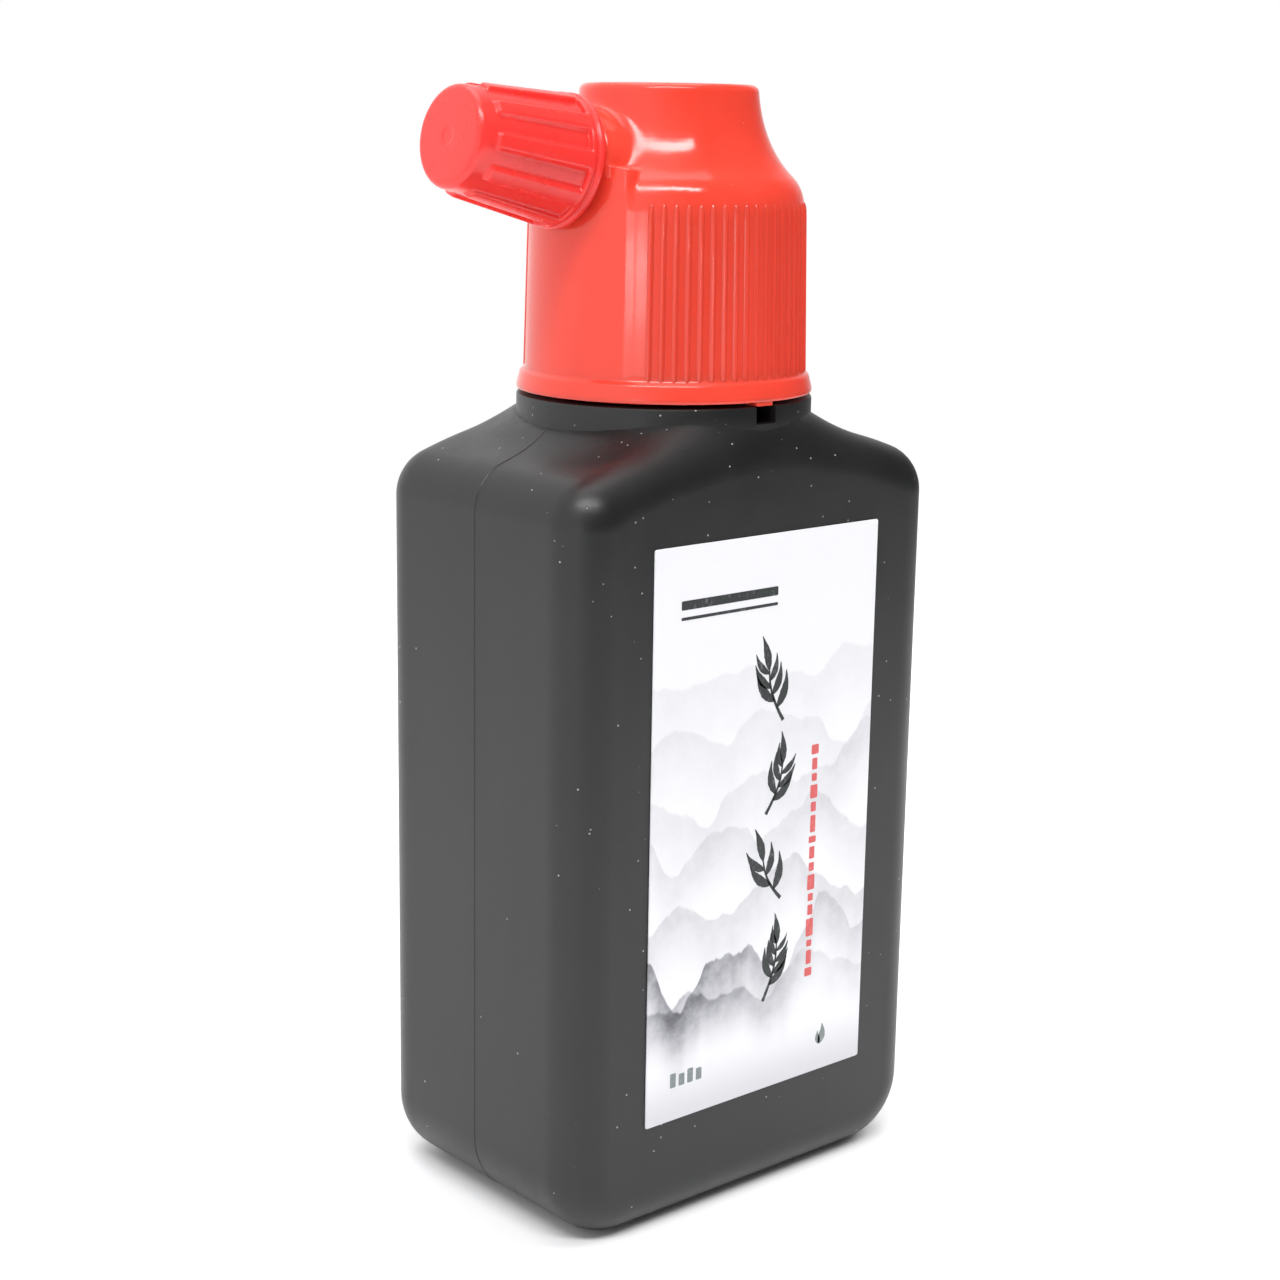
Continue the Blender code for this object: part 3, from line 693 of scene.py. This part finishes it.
def bottle_mesh():
    edge, corner, arch = ((12, 14, 60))
    body = solid("body_work", lambda b: body_shell(b, 0.0, edge, corner, arch, True))
    hollow = solid("hollow_work", lambda b: body_shell(b, WALL, 5, 6, 16, False))
    steps = 128
    collar_profile = (
        [(0.02, COLLAR_ROOT), (COLLAR_RADIUS, COLLAR_ROOT), (COLLAR_RADIUS, COLLAR_TOP - 0.22)]
        + [(COLLAR_RADIUS - 0.07, COLLAR_TOP - 0.06), (COLLAR_RADIUS - 0.24, COLLAR_TOP)]
        + [(NECK_RADIUS + 0.5, COLLAR_TOP), (NECK_RADIUS + 0.1, COLLAR_TOP + 0.15)]
        + [(NECK_RADIUS, COLLAR_TOP + 0.55), (NECK_RADIUS, NECK_TOP - 0.5)]
        + [(NECK_RADIUS - 0.15, NECK_TOP - 0.13), (NECK_RADIUS - 0.5, NECK_TOP), (0.02, NECK_TOP)]
    )
    collar = solid("collar_work", lambda b: add_plug(b, collar_profile, steps))
    slot_corners = [(SLOT[0], SLOT_FLOOR), (SLOT[1], SLOT_FLOOR), (SLOT[1], 90.0), (SLOT[0], 90.0)]
    slot = solid(
        "slot_work",
        lambda b: add_rings(
            b,
            [
                [(x, y, z) for x, z in rounded(slot_corners, 0.15)]
                for y in (-18.0, -12.2)
            ],
        ),
    )
    bore_profile = [(NECK_BORE, 74.0), (NECK_BORE, 96.9), (NECK_BORE + 0.1, 97.3)]
    bore_profile += [(NECK_BORE + 0.5, 97.7), (NECK_BORE + 0.5, 99.0)]
    bore = solid("bore_work", lambda b: add_plug(b, bore_profile, 96))
    thread = solid(
        "thread_work",
        lambda b: add_thread(b, NECK_RADIUS - 0.25, 11.2, 1.2, 0.7, 86.0, 3.0, 2.25, 72, True),
    )
    boolean(body, collar, "UNION")
    boolean(body, slot, "DIFFERENCE")
    boolean(body, thread, "UNION")
    boolean(body, hollow, "DIFFERENCE")
    boolean(body, bore, "DIFFERENCE")
    bpy.context.view_layer.update()
    graph = bpy.context.evaluated_depsgraph_get()
    mesh = bpy.data.meshes.new_from_object(body.evaluated_get(graph))
    mesh.name = "bottle_shell"
    for used in (body, hollow, collar, slot, bore, thread):
        bpy.data.objects.remove(used)
    smooth(mesh, math.radians(28.0))
    return mesh


# ---------------------------------------------------------------- labels


def sheet_mesh(name, side):
    low_x, low_z, high_x, high_z = LABEL_BOX
    near, far = 16.15, LABEL_FACE
    builder = bmesh.new()
    corners = rounded([(low_x, low_z), (high_x, low_z), (high_x, high_z), (low_x, high_z)], 0.25, 3)
    rings = [[(x, side * y, z) for x, z in corners] for y in (near, far - 0.03)]
    rings.append([(x * 0.9985, side * far, 40.6 + (z - 40.6) * 0.9992) for x, z in corners])
    add_rings(builder, rings)
    mesh = mesh_of(builder, name)
    smooth(mesh)
    return mesh


def add_stroke(builder, side, points, widths, rough, lift):
    """One brush stroke: a thin flat ribbon along a smooth line, with a slightly uneven edge."""
    line = [np.array(p, float) for p in points]
    path = []
    count = 14
    for index in range(len(line) - 1):
        before = line[max(index - 1, 0)]
        after = line[min(index + 2, len(line) - 1)]
        a, b = line[index], line[index + 1]
        for step in range(count):
            t = step / count
            square = (2 * before - 5 * a + 4 * b - after) * t**2
            cube = (3 * a - before - 3 * b + after) * t**3
            path.append(0.5 * (2 * a + (b - before) * t + square + cube))
    path.append(line[-1])
    total = len(path) - 1
    left, right = [], []
    for index, point in enumerate(path):
        ahead = path[min(index + 1, total)] - path[max(index - 1, 0)]
        ahead = ahead / max(np.linalg.norm(ahead), 1e-9)
        across = np.array([-ahead[1], ahead[0]])
        t = index / total * (len(widths) - 1)
        cell = min(int(t), len(widths) - 2)
        half = 0.5 * (widths[cell] + (widths[cell + 1] - widths[cell]) * (t - cell))
        half = max(half, 0.02)
        slow = math.sin(index * 2.3 + point[0] * 5.0)
        wobble = rough * (slow + 0.6 * math.sin(index * 5.1 + point[1] * 3.0))
        left.append(point + across * (half + wobble * half))
        right.append(point - across * (half - wobble * half * 0.7))
    loop = left + right[::-1]
    add_rings(builder, [[(x, side * y, z) for x, z in loop] for y in (LABEL_FACE - 0.01, LABEL_FACE + lift)])


def leaf(builder, side, base, angle, length, width, bend):
    """A tapered leaf-like stroke from its base."""
    angle = math.radians(angle)
    points = []
    for t in (0.0, 0.35, 0.7, 1.0):
        turned = angle + math.radians(bend) * t
        points.append((base[0] + length * t * math.cos(turned), base[1] + length * t * math.sin(turned)))
    widths = (0.12 * width, 0.8 * width, width, 0.72 * width, 0.3 * width, 0.05)
    add_stroke(builder, side, points, widths, 0.05, 0.02)


# Sprigs on the label: middle height, lean in degrees, stem length, leaf pairs, leaf length.
SPRIGS = (
    (54.6, 14.0, 8.2, 3, 3.9),
    (44.8, -16.0, 7.6, 3, 3.6),
    (35.2, 22.0, 7.2, 2, 4.0),
    (25.4, -10.0, 8.6, 4, 3.6),
)


def sprig(builder, height, lean, length, pairs, leaf_length):
    """A bent stem with pairs of brushed leaves and one leaf at its tip."""
    turned = math.radians(90.0 + lean)
    along = np.array([math.cos(turned), math.sin(turned)])
    across = np.array([-along[1], along[0]])
    foot = np.array([1.3, height]) - 0.5 * length * along

    def at(t):
        return foot + along * length * t + across * 0.9 * math.sin(math.pi * t) * math.copysign(1.0, lean)

    add_stroke(builder, -1.0, [at(t) for t in (0.0, 0.25, 0.5, 0.72)], (0.42, 0.3, 0.24, 0.16), 0.05, 0.02)
    for index in range(pairs):
        t = 0.2 + 0.55 * index / pairs
        size = leaf_length * (1.0 - 0.13 * index)
        for side, lag, spread in ((-1.0, 0.0, 58.0), (1.0, 0.09, 52.0)):
            leaf(builder, -1.0, at(t + lag), 90.0 + lean + side * spread, size, 0.27 * size, -side * 26.0)
    leaf(builder, -1.0, at(0.7), 90.0 + lean * 0.4, leaf_length * 0.95, 0.26 * leaf_length, 10.0)


def black_marks_mesh():
    builder = bmesh.new()
    for row in SPRIGS:
        sprig(builder, *row)
    bar(builder, -1.0, -11.6, 63.5, 1.1, 64.4)
    bar(builder, -1.0, -11.6, 62.5, 1.1, 62.8)
    mesh = mesh_of(builder, "label_brush_marks")
    smooth(mesh)
    return mesh


def bar(builder, side, low_x, low_z, high_x, high_z, lift=0.02):
    loop = rounded([(low_x, low_z), (high_x, low_z), (high_x, high_z), (low_x, high_z)], 0.12, 2)
    add_rings(builder, [[(x, side * y, z) for x, z in loop] for y in (LABEL_FACE - 0.01, LABEL_FACE + lift)])


def red_marks_mesh():
    builder = bmesh.new()
    z = 22.4
    lengths = (0.9, 1.5, 0.7, 1.9, 1.1, 0.8, 1.6, 0.9, 1.3, 0.7, 1.8, 1.0, 1.4, 0.8, 1.2, 1.0)
    for index, length in enumerate(lengths):
        half = 0.36 if index % 3 else 0.5
        bar(builder, -1.0, 7.0 - half, z, 7.0 + half, z + length)
        z += length + 0.42
    mesh = mesh_of(builder, "label_red_marks")
    smooth(mesh)
    return mesh


def grey_marks_mesh():
    builder = bmesh.new()
    for index in range(4):
        low = -11.9 + 1.15 * index
        bar(builder, -1.0, low, 15.0, low + 0.75, 16.5 - 0.25 * (index % 2))
    leaf(builder, -1.0, (8.9, 14.4), 48, 2.2, 1.0, 30)
    leaf(builder, -1.0, (9.0, 14.4), 120, 1.5, 0.7, -20)
    mesh = mesh_of(builder, "label_grey_marks")
    smooth(mesh)
    return mesh


def back_marks_mesh():
    builder = bmesh.new()
    z = 62.0
    lengths = (21.0, 23.0, 19.5, 22.0, 12.0, 0.0, 20.5, 23.0, 17.0, 0.0, 22.0, 15.0)
    for length in lengths:
        if length:
            bar(builder, 1.0, -11.5, z, -11.5 + length, z + 0.55)
        z -= 1.9
    bar(builder, 1.0, -11.5, 15.5, -3.5, 23.5)
    mesh = mesh_of(builder, "back_label_marks")
    smooth(mesh)
    return mesh


# ---------------------------------------------------------------- main cap


def cap_outline():
    """The outside of the main cap above its flange, from the axis at the foot to the axis at the top."""
    lean = np.array([-math.sin(math.radians(45.0)), math.cos(math.radians(45.0))])
    dome_lean = np.array([-math.sin(math.radians(6.0)), math.cos(math.radians(6.0))])
    start = np.array([SKIRT_RADIUS, SKIRT_TOP])
    join = np.array([12.4, 103.6])
    edge = np.array([8.9, DOME_TOP - 0.8])
    shoulder = bezier([start, start + [0.0, 1.8], join - lean * 1.1, join], 12)
    flare = bezier([join, join + lean * 2.4, edge - dome_lean * 3.8, edge], 20)[1:]
    turns = np.linspace(0.0, 0.5 * math.pi, 8)[1:]
    rim = [(8.1 + 0.8 * math.cos(a), DOME_TOP - 0.8 + 0.8 * math.sin(a)) for a in turns]
    foot = [(0.0, SHELL_FOOT), (SKIRT_FOOT_RADIUS, SHELL_FOOT), (SKIRT_FOOT_RADIUS, 84.0)]
    return foot + [tuple(p) for p in shoulder + flare] + rim + [(0.0, DOME_TOP)]


def cap_field():
    """The main cap above its flange: dome and skirt, boss, plain panel, hollow and channel."""
    outer = profile_field(cap_outline(), (0.0, 81.0), (20.0, 116.0))
    hollow = profile_field(
        [(0.0, 80.0), (CAP_BORE, 80.0), (CAP_BORE, CAP_SHELF), (8.6, CAP_SHELF)]
        + [(8.6, 103.7), (7.4, 108.4), (6.8, 110.9), (0.0, 110.9)],
        (0.0, 78.0),
        (20.0, 116.0),
    )

    def field(points):
        x, y, z = points.T
        radius = np.hypot(x, y)
        from_spout = np.abs(np.arctan2(y, -x))
        body = outer(radius, z)
        offset = points - SPOUT_ROOT
        up, side, along = offset @ SPOUT_UP, offset @ SPOUT_SIDE, offset @ SPOUT_ALONG
        tube = np.where(up > 0.0, np.hypot(up, side), np.abs(side)) - BOSS_RADIUS
        tube = np.maximum(tube, -(up + BOSS_SKIRT))
        tube = np.maximum(tube, BOSS_START - along)
        tube = -join_smooth(-tube, BOSS_END - along, 0.5)
        made = join_smooth(body, tube, BOSS_BLEND)
        tapered = PANEL_RADIUS - PANEL_TAPER * (z - PANEL_LOW) / PANEL_HEIGHT
        reach = np.where(z < SKIRT_TOP, tapered, PANEL_TOP_RADIUS)
        wedge = (from_spout - SMOOTH_HALF) * radius
        panel = -join_smooth(reach - radius, -wedge, 1.0)
        level = (z - SPOUT_ROOT[2]) * math.cos(SPOUT_RISE) + x * math.sin(SPOUT_RISE)
        panel = -join_smooth(-panel, -level, 0.3)
        panel = np.maximum(panel, np.maximum(PANEL_ROOT - radius, PANEL_FOOT - z))
        seat = np.maximum(np.hypot(up, side) - SEAT_RADIUS, SEAT_START - along)
        panel = cut_smooth(panel, seat, 0.15)
        made = join_smooth(made, panel, 0.4)
        made = np.maximum(made, -hollow(radius, z))
        channel = np.maximum(np.hypot(up, side) - CHANNEL_RADIUS, CHANNEL_START - along)
        return np.maximum(made, -channel)

    return field


def grip_mesh():
    """The foot flange with its lug, the grip ridges and the thread inside the skirt."""
    builder = bmesh.new()
    flange = [(CAP_BORE, CAP_FOOT), (FLANGE_RADIUS - 0.2, CAP_FOOT)]
    flange += [(FLANGE_RADIUS - 0.05, CAP_FOOT + 0.05), (FLANGE_RADIUS, CAP_FOOT + 0.2)]
    flange += [(FLANGE_RADIUS - 0.02, CAP_FOOT + 0.5), (14.66, FLANGE_TOP - 0.35)]
    flange += [(14.60, FLANGE_TOP - 0.18), (14.50, FLANGE_TOP - 0.06)]
    flange += [(14.36, FLANGE_TOP + 0.02), (14.24, FLANGE_TOP + 0.14)]
    flange += [(14.14, FLANGE_TOP + 0.35), (SKIRT_FOOT_RADIUS - 0.05, FLANGE_TOP + 0.8)]
    flange += [(13.0, FLANGE_TOP + 0.9), (CAP_BORE, FLANGE_TOP + 0.9)]
    add_lathe(builder, flange, 240)
    lug_low, lug_high = CAP_FOOT - 0.35, CAP_FOOT + 0.3
    loop = rounded([(-1.1, lug_low), (1.0, lug_low), (1.0, lug_high), (-1.1, lug_high)], 0.15)
    add_rings(builder, [[(x, y, z) for x, z in loop] for y in (-14.85, -13.3)])
    for index in range(RIDGE_COUNT):
        turned = math.radians(RIDGE_PITCH_DEGREES) * (index + 0.5)
        if abs(turned - math.pi) < RIDGE_FREE_HALF:
            continue
        across = np.array([math.cos(turned), math.sin(turned), 0.0])
        beside = np.array([-math.sin(turned), math.cos(turned), 0.0])
        sections = []
        for z, share in RIDGE_LEVELS:
            narrowed = (SKIRT_RADIUS - SKIRT_FOOT_RADIUS) * (z - 84.0) / 16.0
            outer = SKIRT_FOOT_RADIUS + RIDGE_PROUD + narrowed
            inner = outer - RIDGE_PROUD - 0.15
            reach = inner + (outer - inner) * (0.25 + 0.75 * share)
            section = []
            level = np.array([0.0, 0.0, z])
            for s, h in RIDGE_SECTION:
                width = s * (0.55 + 0.45 * share)
                section.append(across * (inner + (reach - inner) * h) + beside * width + level)
            sections.append(section)
        add_rings(builder, sections)
    add_thread(builder, 10.7, CAP_BORE + 0.25, 1.2, 0.7, 84.5, 3.0, 1.75, 72, False)
    mesh = mesh_of(builder, "main_cap_grip")
    smooth(mesh, math.radians(50.0))
    return mesh


def spout_mesh():
    """The screw neck of the spout with its channel."""
    builder = bmesh.new()
    profile = [(1.8, 11.5), (3.7, 11.5), (3.7, 20.6), (3.5, 20.9), (3.1, 21.1), (3.1, 23.35)]
    profile += [(3.0, 23.55), (2.85, 23.6), (2.4, 23.6), (2.4, 19.5), (1.8, 19.5)]
    add_lathe(builder, profile, 72, spout_place)
    add_thread(builder, 3.45, 4.2, 0.9, 0.5, 15.6, 2.4, 1.75, 60, True, spout_place)
    mesh = mesh_of(builder, "main_cap_spout")
    smooth(mesh)
    return mesh


def nozzle_mesh():
    builder = bmesh.new()
    profile = [(0.6, 20.0), (2.0, 20.0), (2.1, 20.15), (2.1, 23.9), (3.0, 23.9), (3.1, 24.0)]
    profile += [(3.1, 24.35), (2.9, 24.55), (2.6, 24.6), (1.2, 24.6), (0.85, 24.45), (0.6, 24.2)]
    add_lathe(builder, profile, 64, spout_place)
    mesh = mesh_of(builder, "spout_nozzle_insert")
    smooth(mesh)
    return mesh


def spout_seal_mesh():
    builder = bmesh.new()
    profile = [(0.02, 24.9), (3.08, 24.9), (3.2, 25.02), (3.2, 25.58), (3.08, 25.7), (0.02, 25.7)]
    add_plug(builder, profile, 64, spout_place)
    mesh = mesh_of(builder, "spout_seal_disc")
    smooth(mesh)
    return mesh


def neck_seal_mesh():
    builder = bmesh.new()
    profile = [(8.7, 98.0), (8.8, 97.9), (11.1, 97.9), (11.2, 98.0)]
    profile += [(11.2, 98.8), (11.1, 98.9), (8.8, 98.9), (8.7, 98.8)]
    add_lathe(builder, profile, 96)
    mesh = mesh_of(builder, "neck_seal_washer")
    smooth(mesh)
    return mesh


# ---------------------------------------------------------------- spout cap


def spout_cap_field():
    shell = profile_field(
        [(0.0, 13.65), (6.3, 13.65), (6.5, 13.85), (6.5, 14.2), (6.35, 14.35)]
        + [(6.2, 14.42), (6.2, 14.62), (6.35, 14.7)]
        + [(6.4, 14.8), (6.4, 15.1), (6.3, 15.2), (5.85, 15.25), (5.72, 16.0), (4.95, 25.6)]
        + [(4.1 + 0.75 * math.cos(a), 26.55 + 0.75 * math.sin(a)) for a in np.linspace(0.0, 0.5 * math.pi, 8)]
        + [(3.2, 27.34), (1.6, 27.38), (0.9, 27.37), (0.7, 27.28), (0.0, 27.27)],
        (0.0, 10.0),
        (9.0, 30.0),
    )
    hollow = profile_field(
        [(0.0, 8.0), (4.4, 8.0), (4.4, 21.4), (3.6, 22.2), (3.6, 26.0), (0.0, 26.0)], (0.0, 6.0), (9.0, 30.0)
    )

    def field(points):
        up, side, along = points.T
        radius = np.hypot(up, side)
        angle = np.arctan2(up, side)
        made = shell(radius, along)
        pitch = TURN / 10
        near = (angle + 0.5 * pitch) % pitch - 0.5 * pitch
        beside = np.abs(near) * radius
        t = np.clip((along - 15.2) / 10.2, -0.2, 1.2)
        reach = 6.38 - 1.0 * t
        half = 0.82 - 0.16 * t
        face = radius - reach
        flank = beside - half - 0.35 * np.clip(reach - radius, 0.0, 1.0)
        end = np.maximum(along - 25.35, 14.75 - along)
        rib = -join_smooth(-face, -flank, 0.22)
        rib = -join_smooth(-rib, -end, 0.5)
        made = join_smooth(made, rib, 0.22)
        return np.maximum(made, -hollow(radius, along))

    return field


def spout_cap_thread_mesh():
    builder = bmesh.new()
    add_thread(builder, 3.95, 4.65, 0.9, 0.5, 14.4, 2.4, 1.5, 60, False, spout_place)
    mesh = mesh_of(builder, "spout_cap_thread")
    smooth(mesh)
    return mesh


# ---------------------------------------------------------------- build


BLACK = black_plastic()
RED = red_plastic("red_plastic_looks", (0.81, 0.066, 0.040), (0.74, 0.054, 0.031), 0.16, 0.35)
PINK = red_plastic("pink_red_plastic_looks", (0.84, 0.044, 0.038), (0.78, 0.036, 0.031), 0.26, 0.35)
PAPER = label_paper("label_paper_looks", 0.0, 1.0)
BACK_PAPER = label_paper("back_label_paper_looks", 140.0, 0.5)
FOAM = soft_foam("seal_foam_looks", (0.80, 0.80, 0.77))
MILKY = milky_plastic()
BLACK_INK = ink("black_ink_looks", (0.018, 0.022, 0.022), 0.45)
RED_INK = ink("red_ink_looks", (0.62, 0.10, 0.10), 0.5)
GREY_INK = ink("grey_ink_looks", (0.20, 0.23, 0.23), 0.5)

piece("bottle_shell", bottle_mesh(), BLACK, "bottle", ["bottle_body"])
front_mesh = sheet_mesh("front_label_sheet", -1.0)
piece("front_label_sheet", front_mesh, PAPER, "bottle", ["front_label"])
back_mesh = sheet_mesh("back_label_sheet", 1.0)
piece("back_label_sheet", back_mesh, BACK_PAPER, "bottle", ["back_label"])
piece("label_brush_marks", black_marks_mesh(), BLACK_INK, "bottle")
piece("label_red_marks", red_marks_mesh(), RED_INK, "bottle")
piece("label_grey_marks", grey_marks_mesh(), GREY_INK, "bottle")
piece("back_label_marks", back_marks_mesh(), GREY_INK, "bottle")
piece("neck_seal_washer", neck_seal_mesh(), FOAM, "neck_liner", ["neck_seal"])

coarse = 0.25
shell_mesh = field_mesh("main_cap_shell", cap_field(), (-15.2, -15.2, 83.2), (15.2, 15.2, 112.9), coarse)
piece("main_cap_shell", shell_mesh, RED, "cap", ["main_cap"])
piece("main_cap_grip", grip_mesh(), RED, "cap")
piece("main_cap_spout", spout_mesh(), RED, "cap")
piece("spout_nozzle_insert", nozzle_mesh(), MILKY, "cap", ["spout_nozzle"])
piece("spout_seal_disc", spout_seal_mesh(), FOAM, "spout_liner", ["spout_seal"])

fine = 0.16
closure_low, closure_high = (-7.0, -7.0, 13.1), (7.0, 7.0, 27.9)
closure_mesh = field_mesh(
    "spout_cap_shell", spout_cap_field(), closure_low, closure_high, fine, spout_place
)
piece("spout_cap_shell", closure_mesh, PINK, "spout_closure", ["spout_cap"])
piece("spout_cap_thread", spout_cap_thread_mesh(), PINK, "spout_closure")


# ---------------------------------------------------------------- floor, light and camera


def floor():
    """A pale round floor that fades out far from the bottle."""
    builder = bmesh.new()
    bmesh.ops.create_circle(builder, cap_ends=True, segments=96, radius=FLOOR_RADIUS)
    mesh = bpy.data.meshes.new("floor")
    builder.to_mesh(mesh)
    builder.free()
    made = bpy.data.objects.new("floor", mesh)
    bpy.context.scene.collection.objects.link(made)
    surface = Nodes("floor_looks")
    cloud = surface.noise(30.0, 3.0, 0.5)
    pale = surface.mix(cloud, (0.93, 0.93, 0.94), (0.95, 0.95, 0.96))
    surface.link(pale, surface.shader.inputs["Base Color"])
    surface.shader.inputs["Roughness"].default_value = 0.9
    apart = surface.add("ShaderNodeVectorMath", operation="LENGTH")
    surface.link(surface.place, apart.inputs[0])
    faded = surface.ramp(apart.outputs["Value"], FLOOR_RADIUS, FLOOR_FADE_START)
    surface.link(faded, surface.shader.inputs["Alpha"])
    mesh.materials.append(surface.material)


def area_light(name, azimuth, elevation, distance, width, height, power, colour=(1.0, 1.0, 1.0)):
    """A soft light that faces the bottle, placed like a camera at that azimuth and elevation."""
    data = bpy.data.lights.new(name, "AREA")
    data.shape = "RECTANGLE"
    data.size = width
    data.size_y = height
    data.energy = power
    data.color = colour
    made = bpy.data.objects.new(name, data)
    bpy.context.scene.collection.objects.link(made)
    a, e = math.radians(azimuth), math.radians(elevation)
    back = Vector((math.sin(a) * math.cos(e), -math.cos(a) * math.cos(e), math.sin(e)))
    made.location = Vector((0.0, 0.0, 0.07)) + back * distance
    made.rotation_euler = back.to_track_quat("Z", "Y").to_euler()
    return made


def world():
    """Bright behind and to the left of the bottle, dim in front of it to the right."""
    made = bpy.data.worlds.new("studio")
    bpy.context.scene.world = made
    made.use_nodes = True
    tree = made.node_tree
    background = tree.nodes["Background"]
    place = tree.nodes.new("ShaderNodeTexCoord")
    dot = tree.nodes.new("ShaderNodeVectorMath")
    dot.operation = "DOT_PRODUCT"
    dot.inputs[1].default_value = Vector(BRIGHT_SIDE).normalized()
    tree.links.new(place.outputs["Generated"], dot.inputs[0])
    ramp = tree.nodes.new("ShaderNodeMapRange")
    ramp.interpolation_type = "SMOOTHSTEP"
    ramp.inputs["From Min"].default_value = -0.55
    ramp.inputs["From Max"].default_value = 0.45
    ramp.inputs["To Min"].default_value = DIM_WORLD
    ramp.inputs["To Max"].default_value = BRIGHT_WORLD
    tree.links.new(dot.outputs["Value"], ramp.inputs["Value"])
    path = tree.nodes.new("ShaderNodeLightPath")
    seen = tree.nodes.new("ShaderNodeMix")
    tree.links.new(path.outputs["Is Camera Ray"], seen.inputs["Factor"])
    tree.links.new(ramp.outputs["Result"], seen.inputs["A"])
    seen.inputs["B"].default_value = 1.0
    tree.links.new(seen.outputs["Result"], background.inputs["Strength"])
    background.inputs["Color"].default_value = (1.0, 1.0, 1.0, 1.0)


FLOOR_RADIUS = 0.50
FLOOR_FADE_START = 0.20
BRIGHT_SIDE = (-0.55, 0.82, 0.12)
BRIGHT_WORLD = 1.12
DIM_WORLD = 0.08
CAMERA_FOCAL_PX = 2288.6
CAMERA_AZIMUTH = -40.885
CAMERA_ELEVATION = 12.725
CAMERA_ROLL = 0.916
CAMERA_TARGET_SIDE = -2.007
CAMERA_TARGET_HEIGHT = 56.116
CAMERA_DISTANCE = 237.95
IMAGE_SIDE = 1280.0


def camera():
    data = bpy.data.cameras.new("camera")
    data.sensor_width = 36.0
    data.lens = CAMERA_FOCAL_PX / IMAGE_SIDE * 36.0
    data.clip_start = 0.01
    made = bpy.data.objects.new("camera", data)
    bpy.context.scene.collection.objects.link(made)
    a, e, r = (math.radians(v) for v in (CAMERA_AZIMUTH, CAMERA_ELEVATION, CAMERA_ROLL))
    back = Vector((math.sin(a) * math.cos(e), -math.cos(a) * math.cos(e), math.sin(e)))
    level = Vector((math.cos(a), math.sin(a), 0.0))
    up = back.cross(level)
    right = math.cos(r) * level + math.sin(r) * up
    above = math.cos(r) * up - math.sin(r) * level
    target = level * CAMERA_TARGET_SIDE + Vector((0.0, 0.0, CAMERA_TARGET_HEIGHT))
    turned = Matrix((right, above, back)).transposed().to_4x4()
    made.matrix_world = Matrix.Translation((target + back * CAMERA_DISTANCE) * MM) @ turned
    bpy.context.scene.camera = made


floor()
world()
area_light("top", 150.0, 78.0, 0.62, 0.46, 0.46, 1.2)
area_light("front_high", -41.0, 55.0, 0.80, 0.64, 0.12, 4.5)
area_light("right_high", 52.0, 46.0, 0.80, 0.40, 0.40, 3.4).visible_glossy = False
area_light("left_window", -61.0, 2.7, 0.60, 0.105, 0.017, 0.07)
area_light("left_window_sill", -61.0, 0.5, 0.60, 0.105, 0.006, 0.03)
camera()
bpy.context.scene.view_settings.view_transform = "Standard"
